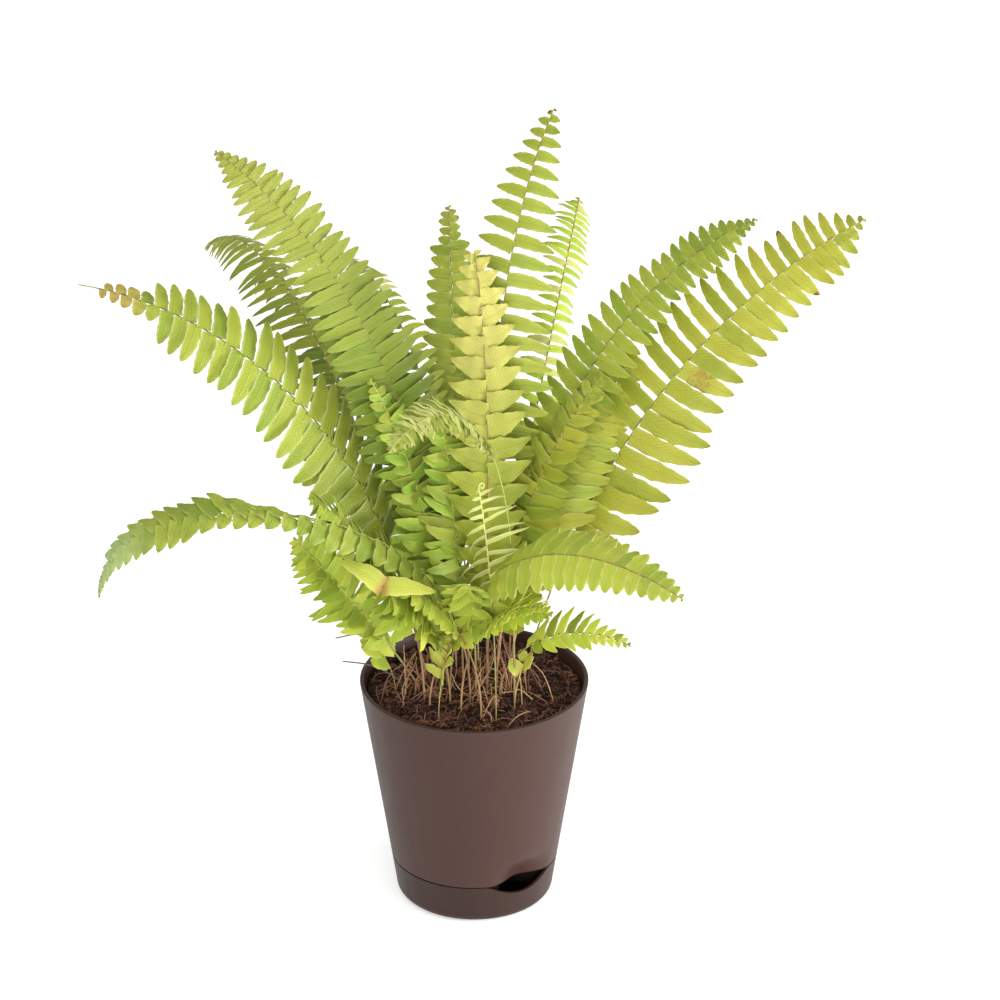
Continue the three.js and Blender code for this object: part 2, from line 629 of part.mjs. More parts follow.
// Whether a leaflet keeps clear of every other frond's rachis, every placed leaflet and the rim.
function isClear(leaflet, owner, rachises, placed) {
  const box = new THREE.Box3().setFromPoints([...leaflet.outline, ...leaflet.ends]);
  const lowest = Math.min(...leaflet.outline.map((point) => point.z));
  if (lowest < POT_HEIGHT + RIM_CLEARANCE) return false;
  const triangles = middleTriangles(leaflet);
  const reach = box.clone().expandByScalar(RACHIS_GAP);
  for (const rachis of rachises) {
    if (rachis.owner === owner || !rachis.box.intersectsBox(reach)) continue;
    if (triangles.some((triangle) => triangleDistance(triangle, rachis.line) < RACHIS_GAP)) return false;
  }
  for (const other of placed) {
    if (other.owner === owner || !other.box.intersectsBox(reach)) continue;
    if (triangles.some((one) => other.triangles.some((two) => triangleDistance(one, two) < LEAFLET_GAP))) {
      return false;
    }
  }
  placed.push({ owner, box, triangles });
  return true;
}

// Bends a leaflet clear of its neighbours, or shortens it, or leaves it off where it has no room.
function placeLeaflet(low, high, side, frond, rachises, placed) {
  for (const share of SHORTER_SHARES) {
    for (const lift of LEAFLET_LIFTS) {
      const leaflet = leafletOutline(low, high, side, frond.blade, lift, share);
      if (isClear(leaflet, frond.name, rachises, placed)) return leaflet;
    }
  }
  return null;
}

// A list of triangles that grows into one closed body.
class Skin {
  constructor() {
    this.points = [];
  }

  triangle(a, b, c) {
    this.points.push(a, b, c);
  }

  quad(a, b, c, d) {
    this.triangle(a, b, c);
    this.triangle(a, c, d);
  }

  geometry() {
    const geometry = new THREE.BufferGeometry().setFromPoints(this.points);
    return mergeVertices(geometry, 1e-4);
  }
}

// One leaflet between two stations: faces alike above and below, and a wall round its edge.
function skinLeaflet(skin, leaflet, side, [lowTop, lowBottom], [highTop, highBottom]) {
  const half = LEAFLET_THICKNESS / 2;
  const tops = leaflet.outline.map((point) => point.clone().addScaledVector(leaflet.normal, half));
  const bottoms = leaflet.outline.map((point) => point.clone().addScaledVector(leaflet.normal, -half));
  const face = (a, b, c) => (side > 0 ? skin.triangle(a, b, c) : skin.triangle(a, c, b));
  face(lowTop, tops[0], tops[2]);
  face(tops[0], tops[1], tops[2]);
  face(lowTop, tops[2], highTop);
  face(lowBottom, bottoms[2], bottoms[0]);
  face(bottoms[0], bottoms[2], bottoms[1]);
  face(lowBottom, highBottom, bottoms[2]);
  const upper = [lowTop, ...tops, highTop];
  const lower = [lowBottom, ...bottoms, highBottom];
  for (let i = 0; i < upper.length - 1; i++) {
    face(upper[i], lower[i], lower[i + 1]);
    face(upper[i], lower[i + 1], upper[i + 1]);
  }
}

// A whole frond: one closed body from the buried end of its petiole to its tip.
function makeFrond(frond, rachises, placed) {
  const stations = makeStations(frond);
  const rings = stations.map(corners);
  const skin = new Skin();
  for (let i = 0; i < stations.length - 1; i++) {
    const [low, high] = [rings[i], rings[i + 1]];
    skin.quad(low[1], low[0], high[0], high[1]);
    skin.quad(low[3], low[2], high[2], high[3]);
    for (const side of [1, -1]) {
      const [top, bottom] = side > 0 ? [0, 3] : [1, 2];
      const leaflet = stations[i].pair >= 0
        && placeLeaflet(stations[i], stations[i + 1], side, frond, rachises, placed);
      if (leaflet) {
        skinLeaflet(skin, leaflet, side, [low[top], low[bottom]], [high[top], high[bottom]]);
      } else if (side > 0) {
        skin.quad(low[top], low[bottom], high[bottom], high[top]);
      } else {
        skin.quad(low[bottom], low[top], high[top], high[bottom]);
      }
    }
  }
  const last = rings[rings.length - 1];
  skin.quad(rings[0][0], rings[0][1], rings[0][2], rings[0][3]);
  skin.quad(last[3], last[2], last[1], last[0]);
  return piece(frond.name, skin.geometry(), frond.colour, 0.55);
}

// The straight pieces of a frond's rachis, for the clearances.
function rachisPieces(frond) {
  const stations = makeStations(frond);
  return stations.slice(1).map((station, i) => {
    const end = station.point;
    const line = [stations[i].point, end, end.clone().addScaledVector(station.across, HAIR)];
    return { owner: frond.name, line, box: new THREE.Box3().setFromPoints(line) };
  });
}

// A square rod along a path.
function rod(path, width) {
  const section = new THREE.Shape([[-1, -1], [1, -1], [1, 1], [-1, 1]]
    .map(([x, y]) => new THREE.Vector2((x * width) / 2, (y * width) / 2)));
  const extrudePath = new THREE.CatmullRomCurve3(path);
  return new THREE.ExtrudeGeometry(section, { steps: path.length, extrudePath });
}

// A clump of dry stalks, joined to the rhizome lump that they grow from.
function makeCrown({ name, centre, stalks, firstAngle }, rachises, placed) {
  const lump = new THREE.IcosahedronGeometry(1, 1);
  lump.scale(...RHIZOME_RADII);
  lump.translate(centre[0], centre[1], RHIZOME_HEIGHT);
  let solid = toSolid(lump);
  for (let i = 0; i < stalks; i++) {
    const mix = ((i * 7) % stalks) / (stalks - 1);
    const turn = radians(firstAngle + (360 / stalks) * i);
    const path = stalkPath(centre, turn, mix, rachises, placed, name);
    if (path) solid = solid.add(toSolid(rod(path, STALK_WIDTH)));
  }
  return piece(name, toGeometry(solid), STRAW, 0.8);
}

// A clear path for one stalk near a wanted direction, or none.
function stalkPath(centre, turn, mix, rachises, placed, owner) {
  const length = lerp(STALK_LENGTH[0], STALK_LENGTH[1], mix);
  for (const aside of STALK_TURNS) {
    const climb = radians(lerp(STALK_CLIMB[0], STALK_CLIMB[1], mix));
    const angle = turn + radians(aside);
    const at = (share) => new THREE.Vector3(
      centre[0] + Math.cos(angle) * Math.cos(climb) * length * share,
      centre[1] + Math.sin(angle) * Math.cos(climb) * length * share,
      RHIZOME_HEIGHT + STALK_START + length * share * (Math.sin(climb) - STALK_SAG * share),
    );
    const path = [0.06, 0.5, 1].map(at);
    const triangles = [0, 1].map((i) => (
      [path[i], path[i + 1], path[i + 1].clone().addScaledVector(up, HAIR)]));
    const outside = Math.hypot(path[2].x, path[2].y) > RIM_RADIUS - 2 * WALL;
    const touches = (others, key, gap) => others.some((other) => other.owner !== owner
      && triangles.some((one) => other[key].some((two) => triangleDistance(one, two) < gap)));
    const lines = rachises.map((rachis) => ({ owner: rachis.owner, lines: [rachis.line] }));
    if (outside || touches(lines, 'lines', STALK_RACHIS_GAP)) continue;
    if (touches(placed, 'triangles', STALK_LEAFLET_GAP)) continue;
    placed.push({ owner, box: new THREE.Box3().setFromPoints(path), triangles });
    return path;
  }
  return null;
}

// The hollow that holds a rhizome lump in the soil.
function crownHollow({ centre }) {
  const lump = new THREE.IcosahedronGeometry(1, 1);
  lump.scale(...RHIZOME_RADII.map((radius) => radius + RHIZOME_GAP));
  lump.translate(centre[0], centre[1], RHIZOME_HEIGHT);
  return toSolid(lump);
}

// A thin runner along its path, out over the rim.
function makeRunner({ name, path }) {
  const points = path.map((point) => new THREE.Vector3(...point));
  return piece(name, rod(points, RUNNER_WIDTH), WIRY_BROWN, 0.7);
}

// The whole potted fern.
function makePottedFern() {
  const group = new THREE.Group();
  const rachises = FRONDS.flatMap(rachisPieces);
  const placed = [];
  const fronds = FRONDS.map((frond) => makeFrond(frond, rachises, placed));
  const crowns = CROWNS.map((crown) => makeCrown(crown, rachises, placed));
  const runners = RUNNERS.map(makeRunner);
  const roots = [...FRONDS.map((frond) => frond.stand.root), ...RUNNERS.map((runner) => runner.path[0])];
  const holes = [
    ...roots.map(([x, y]) => post(x, y, HOLE_BOTTOM, POT_HEIGHT, HOLE_RADIUS, HOLE_RADIUS, 6)),
    ...CROWNS.map(crownHollow),
  ];
  group.add(makePlanter(), makeReservoir(), makeSoil(holes), ...fronds, ...crowns, ...runners);
  return group;
}

const group = makePottedFern();

export default group;
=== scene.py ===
"""A young sword fern in a brown self-watering pot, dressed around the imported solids.

Sizes are written in millimetres, as in the solids, and become metres when a mesh is made.
"""

import logging
import math
import random
from collections.abc import Callable, Sequence
from dataclasses import dataclass, field
from enum import Enum

import bmesh
import bpy
from mathutils import Matrix, Vector, noise


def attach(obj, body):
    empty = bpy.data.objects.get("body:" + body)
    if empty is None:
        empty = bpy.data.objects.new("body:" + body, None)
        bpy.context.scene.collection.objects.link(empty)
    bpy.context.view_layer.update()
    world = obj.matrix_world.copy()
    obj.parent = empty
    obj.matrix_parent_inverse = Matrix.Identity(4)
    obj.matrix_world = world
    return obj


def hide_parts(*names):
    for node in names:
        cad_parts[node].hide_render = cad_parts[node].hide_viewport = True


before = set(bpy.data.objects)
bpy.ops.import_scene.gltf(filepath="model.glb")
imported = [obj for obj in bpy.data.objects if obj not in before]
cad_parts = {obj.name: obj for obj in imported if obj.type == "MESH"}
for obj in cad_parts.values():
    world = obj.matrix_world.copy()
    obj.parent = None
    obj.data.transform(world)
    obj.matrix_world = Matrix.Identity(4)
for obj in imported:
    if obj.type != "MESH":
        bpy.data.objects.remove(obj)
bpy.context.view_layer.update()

MM = 0.001
BODY = "root"

Colour = tuple[float, float, float]
Placer = Callable[[Vector], Vector]
Layer = float | Callable[[Vector], float]

log = logging.getLogger("potted_fern")


def lerp(low: float, high: float, share: float) -> float:
    """Returns the number that lies at a share of the way from low to high."""
    return low + (high - low) * share


def smoothstep(share: float) -> float:
    """Returns a share that is clamped to 0-1 and eased at both ends."""
    share = min(1.0, max(0.0, share))
    return share * share * (3 - 2 * share)


# Shader maths


class Value:
    """A number socket whose Python operators add Math nodes."""

    def __init__(self, graph: "Graph", socket: bpy.types.NodeSocket) -> None:
        """Wraps a socket of a graph."""
        self.graph = graph
        self.socket = socket

    def maths(self, operation: str, *others: "Value | float") -> "Value":
        """Adds one Math node.

        Args:
            operation: the Math node's operation.
            others: the node's inputs after this value.

        Returns:
            The node's result.
        """
        inputs = dict(enumerate((self, *others)))
        return self.graph.number("ShaderNodeMath", {"operation": operation}, inputs)

    def __add__(self, other: "Value | float") -> "Value":
        """Returns the sum."""
        return self.maths("ADD", other)

    def __mul__(self, other: "Value | float") -> "Value":
        """Returns the product."""
        return self.maths("MULTIPLY", other)

    def __sub__(self, other: "Value | float") -> "Value":
        """Returns the difference."""
        return self.maths("SUBTRACT", other)

    def __rsub__(self, other: float) -> "Value":
        """Returns a number less this value."""
        return (self * -1) + other

    __radd__ = __add__
    __rmul__ = __mul__

    def away_from(self, other: float) -> "Value":
        """Returns the distance from a number."""
        return (self - other).maths("ABSOLUTE")

    def sine(self) -> "Value":
        """Returns the sine."""
        return self.maths("SINE")

    def ramp(self, low: float, high: float, start: float = 0.0, end: float = 1.0) -> "Value":
        """Eases from start to end as this value goes from low to high.

        Args:
            low: the value at which the ramp sets in.
            high: the value at which it ends.
            start: the result up to low.
            end: the result from high on.

        Returns:
            The eased number.
        """
        settings = {"interpolation_type": "SMOOTHSTEP"}
        return self.graph.number("ShaderNodeMapRange", settings, {0: self, 1: low, 2: high, 3: start, 4: end})


class Graph:
    """The nodes of one material."""

    def __init__(self, name: str) -> None:
        """Makes an empty material with an output.

        Args:
            name: the material's name.
        """
        self.material = bpy.data.materials.new(name)
        self.material.use_nodes = True
        self.tree = self.material.node_tree
        self.tree.nodes.clear()
        self.output = self.tree.nodes.new("ShaderNodeOutputMaterial")

    def node(self, kind: str, settings: dict | None = None, inputs: dict | None = None) -> bpy.types.Node:
        """Adds a node.

        Args:
            kind: the node's type.
            settings: its own properties, which are set first.
            inputs: values or links of its sockets, by name or number.

        Returns:
            The node.
        """
        made = self.tree.nodes.new(kind)
        for name, value in (settings or {}).items():
            setattr(made, name, value)
        for name, value in (inputs or {}).items():
            if isinstance(value, Value):
                value = value.socket
            if isinstance(value, bpy.types.NodeSocket):
                self.tree.links.new(value, made.inputs[name])
            else:
                made.inputs[name].default_value = value
        return made

    def number(self, kind: str, settings: dict | None = None, inputs: dict | None = None) -> Value:
        """Returns a new node's first output as a value."""
        return Value(self, self.node(kind, settings, inputs).outputs[0])

    def attribute(self, name: str) -> Value:
        """Returns a number that the mesh keeps at its points."""
        node = self.node("ShaderNodeAttribute", {"attribute_name": name})
        return Value(self, node.outputs["Fac"])

    def axes(self, socket: bpy.types.NodeSocket) -> tuple[Value, Value, Value]:
        """Returns the three numbers of a vector."""
        node = self.node("ShaderNodeSeparateXYZ", inputs={0: socket})
        return tuple(Value(self, output) for output in node.outputs)

    def place(self, stretch: tuple[float, float, float] = (1, 1, 1)) -> bpy.types.NodeSocket:
        """Returns the object's coordinates, stretched along its axes."""
        source = self.node("ShaderNodeTexCoord").outputs["Object"]
        return self.node("ShaderNodeMapping", inputs={"Vector": source, "Scale": stretch}).outputs[0]

    def grain(self, scale: float, detail: float = 2.0, stretch: tuple[float, float, float] = (1, 1, 1)) -> Value:
        """Returns soft noise from 0 to 1 on the object's coordinates."""
        inputs = {"Vector": self.place(stretch), "Scale": scale, "Detail": detail}
        return self.number("ShaderNodeTexNoise", inputs=inputs)

    def mixed(self, share: Value, low: "Colour | bpy.types.NodeSocket",
              high: "Colour | bpy.types.NodeSocket") -> bpy.types.NodeSocket:
        """Mixes two colours.

        Args:
            share: how much of the second colour there is.
            low: the first colour.
            high: the second colour.

        Returns:
            The mixed colour's socket.
        """
        def full(colour: "Colour | bpy.types.NodeSocket") -> "tuple | bpy.types.NodeSocket":
            """Returns a colour with its alpha, or the link as it is."""
            return colour if isinstance(colour, bpy.types.NodeSocket) else (*colour, 1.0)

        inputs = {0: share, 6: full(low), 7: full(high)}
        return self.node("ShaderNodeMix", {"data_type": "RGBA"}, inputs).outputs[2]

    def bump(self, height: Value, depth: float, strength: float = 1.0) -> bpy.types.NodeSocket:
        """Returns a normal that follows a height, whose full range is depth metres."""
        inputs = {"Height": height, "Distance": depth, "Strength": strength}
        return self.node("ShaderNodeBump", inputs=inputs).outputs[0]

    def close(self, shader: bpy.types.Node) -> bpy.types.Material:
        """Joins the last shader to the output and returns the material."""
        self.tree.links.new(shader.outputs[0], self.output.inputs["Surface"])
        return self.material


# Finishes


@dataclass(frozen=True)
class LeafFinish:
    """The skin of leaflets: lively green with a midrib, side veins, pale edges and dry tips."""

    name: str
    main: Colour
    shade: Colour
    edge: Colour
    dry: Colour = (0.42, 0.27, 0.06)
    dry_from: float = 2.0
    dry_span: float = 0.06
    edge_share: float = 0.45
    rib_share: float = 0.14
    base: Colour | None = None
    roughness: float = 0.5
    glow: float = 0.32
    singed: Colour = (0.38, 0.22, 0.04)
    burnt: Colour = (0.14, 0.045, 0.02)

    def material(self) -> bpy.types.Material:
        """Builds the leaf's nodes.

        Returns:
            The material, which reads the mesh's blade map and its tone, along and blemish values.
        """
        graph = Graph(self.name)
        blade = graph.node("ShaderNodeUVMap", {"uv_map": "blade"}).outputs[0]
        out, across, _ = graph.axes(blade)
        aside = across.away_from(0.5) * 2
        tone = graph.attribute("tone")
        mottle = graph.grain(70, 3)
        rib = 1 - aside.ramp(0.03, 0.14)
        veins = (out * 95 + aside * -16).sine().ramp(0.35, 1.0)
        green = graph.mixed((mottle * 0.6 + tone * 0.7).ramp(0.15, 0.9), self.shade, self.main)
        green = graph.mixed(veins * 0.1, green, self.shade)
        green = graph.mixed(rib * self.rib_share, green, self.shade)
        rim = aside.ramp(0.62, 0.98) * self.edge_share
        green = graph.mixed(rim, green, self.edge)
        along = graph.attribute("along")
        ends = (along + mottle * 0.05).ramp(self.dry_from, self.dry_from + self.dry_span)
        green = graph.mixed(ends, green, self.dry)
        if self.base:
            green = graph.mixed(1 - out.ramp(0.0, 0.16), green, self.base)
        spots = graph.attribute("blemish") * graph.grain(480, 3).ramp(0.36, 0.62)
        green = graph.mixed(spots.ramp(0.2, 0.5) * 0.85, green, self.singed)
        green = graph.mixed(spots.ramp(0.75, 1.0), green, self.burnt)
        rough = mottle.ramp(0.3, 0.7, self.roughness - 0.06, self.roughness + 0.1)
        height = veins * 0.35 + rib * -0.35
        skin = graph.node("ShaderNodeBsdfPrincipled", inputs={
            "Base Color": green, "Roughness": rough, "Normal": graph.bump(height, 0.0004),
            "Specular IOR Level": 0.4,
        })
        through = graph.node("ShaderNodeBsdfTranslucent", inputs={"Color": (*self.main, 1.0)})
        return graph.close(graph.node("ShaderNodeMixShader", inputs={
            0: self.glow, 1: skin.outputs[0], 2: through.outputs[0],
        }))


@dataclass(frozen=True)
class StemFinish:
    """The skin of a rachis: dark between the leaflets, greener where they join it."""

    name: str
    dark: Colour
    joint: Colour
    foot: Colour
    foot_end: float = 0.3

    def material(self) -> bpy.types.Material:
        """Builds the stem's nodes.

        Returns:
            The material, which reads the mesh's beat and along values.
        """
        graph = Graph(self.name)
        beat = graph.attribute("beat")
        speckle = graph.grain(900, 2)
        colour = graph.mixed(beat, self.dark, self.joint)
        low = 1 - graph.attribute("along").ramp(self.foot_end - 0.22, self.foot_end)
        colour = graph.mixed(low, colour, self.foot)
        colour = graph.mixed(speckle.ramp(0.5, 0.72) * 0.4, colour, self.dark)
        height = graph.grain(1500, 2, (1, 1, 0.2))
        return graph.close(graph.node("ShaderNodeBsdfPrincipled", inputs={
            "Base Color": colour, "Roughness": speckle.ramp(0.3, 0.7, 0.4, 0.6),
            "Normal": graph.bump(height, 0.0002),
        }))


@dataclass(frozen=True)
class StrawFinish:
    """The skin of dry stalks and fibres, whose tone goes from reddish brown to pale straw."""

    name: str
    low: Colour
    middle: Colour
    high: Colour

    def material(self) -> bpy.types.Material:
        """Builds the straw's nodes.

        Returns:
            The material, which reads the mesh's tone.
        """
        graph = Graph(self.name)
        tone = graph.attribute("tone") + graph.grain(260, 3) * 0.3
        colour = graph.mixed(tone.ramp(0.1, 0.6), self.low, self.middle)
        colour = graph.mixed(tone.ramp(0.55, 1.1), colour, self.high)
        streaks = graph.grain(1400, 2, (1, 1, 0.15))
        return graph.close(graph.node("ShaderNodeBsdfPrincipled", inputs={
            "Base Color": graph.mixed(streaks.ramp(0.45, 0.7) * 0.45, colour, self.low),
            "Roughness": streaks.ramp(0.3, 0.7, 0.55, 0.8),
            "Normal": graph.bump(streaks, 0.0003),
        }))


@dataclass(frozen=True)
class SoilFinish:
    """Damp potting mix: near black with brown and reddish bits."""

    name: str
    dark: Colour = (0.003, 0.0015, 0.0012)
    brown: Colour = (0.022, 0.0092, 0.0058)
    red: Colour = (0.15, 0.058, 0.032)

    def material(self) -> bpy.types.Material:
        """Builds the soil's nodes.

        Returns:
            The material, which reads the mesh's tone.
        """
        graph = Graph(self.name)
        lumps = graph.grain(190, 4)
        bits = graph.grain(620, 3)
        tone = graph.attribute("tone")
        colour = graph.mixed((lumps + bits * 0.6 + tone * 0.5).ramp(0.6, 1.25), self.dark, self.brown)
        colour = graph.mixed((bits + tone * 0.6).ramp(0.76, 1.06), colour, self.red)
        height = lumps * 0.6 + bits * 0.4
        return graph.close(graph.node("ShaderNodeBsdfPrincipled", inputs={
            "Base Color": colour, "Roughness": bits.ramp(0.3, 0.7, 0.65, 0.95), "Specular IOR Level": 0.15,
            "Normal": graph.bump(height, 0.0016),
        }))


@dataclass(frozen=True)
class PlasticFinish:
    """Matte brown moulded plastic with a fine grain, faint rub marks and painted shade that darkens its insides."""

    name: str
    main: Colour = (0.037, 0.0148, 0.0105)
    worn: Colour = (0.048, 0.022, 0.0165)
    # painted shade: the near black that the marked insides of the pot get
    inside_shade_colour: Colour = (0.003, 0.0014, 0.001)

    def material(self) -> bpy.types.Material:
        """Builds the plastic's nodes.

        Returns:
            The material, which reads the mesh's mark for the painted shade inside the pot.
        """
        graph = Graph(self.name)
        cloud = graph.grain(14, 3, (1, 1, 0.4))
        grain = graph.grain(2600, 2)
        rubbed = graph.grain(120, 4, (1, 1, 0.12))
        colour = graph.mixed(cloud.ramp(0.35, 0.75) * 0.35, self.main, self.worn)
        colour = graph.mixed(rubbed.ramp(0.62, 0.8) * 0.18, colour, self.worn)
        # painted shade: where the mesh is marked, inside the pot, the plastic goes near black as if unlit
        colour = graph.mixed(graph.attribute("inside_shade"), colour, self.inside_shade_colour)
        return graph.close(graph.node("ShaderNodeBsdfPrincipled", inputs={
            "Base Color": colour,
            "Roughness": (grain * 0.5 + rubbed * 0.5).ramp(0.3, 0.7, 0.42, 0.54),
            "Normal": graph.bump(grain, 0.00012),
            "Specular IOR Level": 0.26,
        }))


@dataclass(frozen=True)
class FloorFinish:
    """An even pale studio floor."""

    name: str
    tone: float = 0.85
    glow: float = 0.3

    def material(self) -> bpy.types.Material:
        """Builds the floor's nodes.

        Returns:
            The material.
        """
        graph = Graph(self.name)
        return graph.close(graph.node("ShaderNodeBsdfPrincipled", inputs={
            "Base Color": (self.tone, self.tone, self.tone, 1.0), "Roughness": 0.9,
            "Emission Color": (1.0, 1.0, 1.0, 1.0), "Emission Strength": self.glow,
        }))


class LeafTone(Enum):
    """The greens of the plant's leaves; the lighter greens of the low and inner fronds are partly painted light that
    lifts them out of the crown's shade.
    """

    LIME = LeafFinish("leaf_lime_skin", (0.365, 0.41, 0.043), (0.235, 0.32, 0.028), (0.51, 0.56, 0.13))
    OLIVE = LeafFinish("leaf_olive_skin", (0.41, 0.41, 0.038), (0.28, 0.33, 0.027), (0.50, 0.50, 0.09))
    YELLOW = LeafFinish("leaf_yellow_skin", (0.37, 0.41, 0.034), (0.28, 0.34, 0.028), (0.46, 0.49, 0.075),
                        (0.515, 0.48, 0.105), 0.42, dry_span=0.5)
    SHADY = LeafFinish("leaf_shady_skin", (0.25, 0.32, 0.03), (0.155, 0.235, 0.02), (0.36, 0.42, 0.085),
                       (0.42, 0.45, 0.075), 0.5, dry_span=0.5)
    FROSTED = LeafFinish("leaf_frosted_skin", (0.335, 0.385, 0.045), (0.215, 0.30, 0.03), (0.48, 0.53, 0.13),
                         (0.42, 0.53, 0.19), 0.83, dry_span=0.1)
    TAN_TIPPED = LeafFinish("leaf_tan_tipped_skin", (0.37, 0.415, 0.045), (0.235, 0.32, 0.03),
                            (0.57, 0.62, 0.20), (0.50, 0.37, 0.085), 0.885, edge_share=0.6)
    TANNED = LeafFinish("leaf_tanned_skin", (0.35, 0.40, 0.042), (0.22, 0.31, 0.028),
                        (0.50, 0.55, 0.13), (0.50, 0.45, 0.11), 0.955, dry_span=0.1)
    # painted light: a much lighter copy of the lime green, for low fronds that lie in the crown's shade
    LIT_LIME = LeafFinish("leaf_lit_lime_skin", (0.62, 0.67, 0.085), (0.46, 0.56, 0.06), (0.72, 0.76, 0.24))
    RIBBED = LeafFinish("leaf_ribbed_skin", (0.44, 0.49, 0.055), (0.30, 0.38, 0.04),
                        (0.66, 0.69, 0.22), edge_share=0.6)
    # fresh green and deep green hues, both lightened as painted light to lift the shaded low and inner fronds
    FRESH_LIT = LeafFinish("leaf_fresh_lit_skin", (0.50, 0.60, 0.06), (0.35, 0.49, 0.045), (0.60, 0.66, 0.16))
    DEEP_LIT = LeafFinish("leaf_deep_lit_skin", (0.38, 0.50, 0.048), (0.22, 0.37, 0.033), (0.48, 0.57, 0.11))
    CREAM = LeafFinish("leaf_cream_skin", (0.68, 0.69, 0.26), (0.56, 0.59, 0.17), (0.75, 0.75, 0.38))
    PALE = LeafFinish("leaf_pale_skin", (0.60, 0.62, 0.18), (0.46, 0.51, 0.11), (0.70, 0.72, 0.32))
    GOLD = LeafFinish("leaf_gold_skin", (0.55, 0.56, 0.09), (0.42, 0.47, 0.06), (0.66, 0.64, 0.18),
                      base=(0.40, 0.21, 0.06))


class StemTone(Enum):
    """The colours of the rachises."""

    DARK = StemFinish("stem_dark_skin", (0.055, 0.035, 0.015), (0.24, 0.25, 0.05), (0.22, 0.12, 0.05))
    TAN = StemFinish("stem_tan_skin", (0.15, 0.08, 0.025), (0.32, 0.27, 0.055), (0.29, 0.165, 0.07))
    OLIVE = StemFinish("stem_olive_skin", (0.20, 0.15, 0.035), (0.30, 0.26, 0.055), (0.20, 0.12, 0.04))
    PALE = StemFinish("stem_pale_skin", (0.50, 0.52, 0.13), (0.58, 0.60, 0.19), (0.15, 0.13, 0.03), 0.62)
    GREEN = StemFinish("stem_green_skin", (0.24, 0.28, 0.05), (0.36, 0.42, 0.075), (0.27, 0.17, 0.07))


PLASTIC = PlasticFinish("moulded_plastic_skin")
# painted shade: a darker copy of the pot's plastic for the tray, which curves under the pot into shade
SHADED_TRAY_PLASTIC = PlasticFinish("tray_plastic_shaded_skin", (0.023, 0.0085, 0.0056), (0.031, 0.013, 0.009))
SOIL = SoilFinish("potting_mix_skin")
STRAW = StrawFinish("dry_straw_skin", (0.09, 0.028, 0.013), (0.24, 0.105, 0.05), (0.45, 0.27, 0.12))
FIBRE = StrawFinish("soil_fibre_skin", (0.025, 0.008, 0.005), (0.11, 0.036, 0.02), (0.27, 0.12, 0.06))
WIRY = StrawFinish("wiry_runner_skin", (0.05, 0.035, 0.03), (0.10, 0.075, 0.065), (0.16, 0.12, 0.10))

Finish = LeafFinish | StemFinish | StrawFinish | SoilFinish | PlasticFinish | FloorFinish
_made: dict[str, bpy.types.Material] = {}


def skin(finish: Finish) -> bpy.types.Material:
    """Builds a finish's material once, and gives the same one from then on.

    Args:
        finish: the finish.

    Returns:
        Its material.
    """
    if finish.name not in _made:
        _made[finish.name] = finish.material()
    return _made[finish.name]


# Meshes


LAYERS = ("tone", "along", "beat", "blemish")


class Form:
    """A small closed shape in its own coordinates, which is stamped many times into a bigger mesh."""

    def __init__(self, bm: bmesh.types.BMesh, material: int = 0, sharp: float = 60.0) -> None:
        """Keeps a shape.

        Args:
            bm: the shape, whose first two coordinates from -0.5 to 0.5 become its blade map.
            material: the material number of its faces.
            sharp: the angle in degrees from which an edge stays crisp.
        """
        for name in LAYERS:
            bm.verts.layers.float.new(name)
        blade = bm.loops.layers.uv.new("blade")
        bmesh.ops.recalc_face_normals(bm, faces=bm.faces[:])
        bm.normal_update()
        for face in bm.faces:
            face.smooth = True
            face.material_index = material
            for loop in face.loops:
                loop[blade].uv = (loop.vert.co.x + 0.5, loop.vert.co.y + 0.5)
        for edge in bm.edges:
            edge.smooth = edge.calc_face_angle(0) < math.radians(sharp)
        self.mesh = bpy.data.meshes.new("form")
        bm.to_mesh(self.mesh)
        bm.free()

    def stamp(self, bm: bmesh.types.BMesh, place: Placer, **values: Layer) -> None:
        """Adds one copy to a mesh.

        Args:
            bm: the mesh that grows.
            place: takes a point of the form to its place in millimetres.
            values: what the copy keeps at its points, as one number or one for each point.
        """
        start = len(bm.verts)
        bm.from_mesh(self.mesh, face_normals=False, vertex_normals=False)
        bm.verts.ensure_lookup_table()
        layers = {bm.verts.layers.float[name]: value for name, value in values.items()}
        for index in range(start, len(bm.verts)):
            vert = bm.verts[index]
            for layer, value in layers.items():
                vert[layer] = value(vert.co) if callable(value) else value
            vert.co = place(vert.co)


def blade_form(rows: int, columns: int, material: int = 0) -> Form:
    """Builds a flat slab from -0.5 to 0.5 on all axes, which is bent into a leaflet.

    Args:
        rows: its faces along X.
        columns: its faces along Y.
        material: the material number of its faces.

    Returns:
        The slab.
    """
    bm = bmesh.new()
    bmesh.ops.create_grid(bm, x_segments=rows, y_segments=columns, size=0.5)
    bmesh.ops.solidify(bm, geom=bm.faces[:], thickness=1.0)
    middle = sum(vert.co.z for vert in bm.verts) / len(bm.verts)
    bmesh.ops.translate(bm, verts=bm.verts[:], vec=(0, 0, -middle))
    return Form(bm, material)


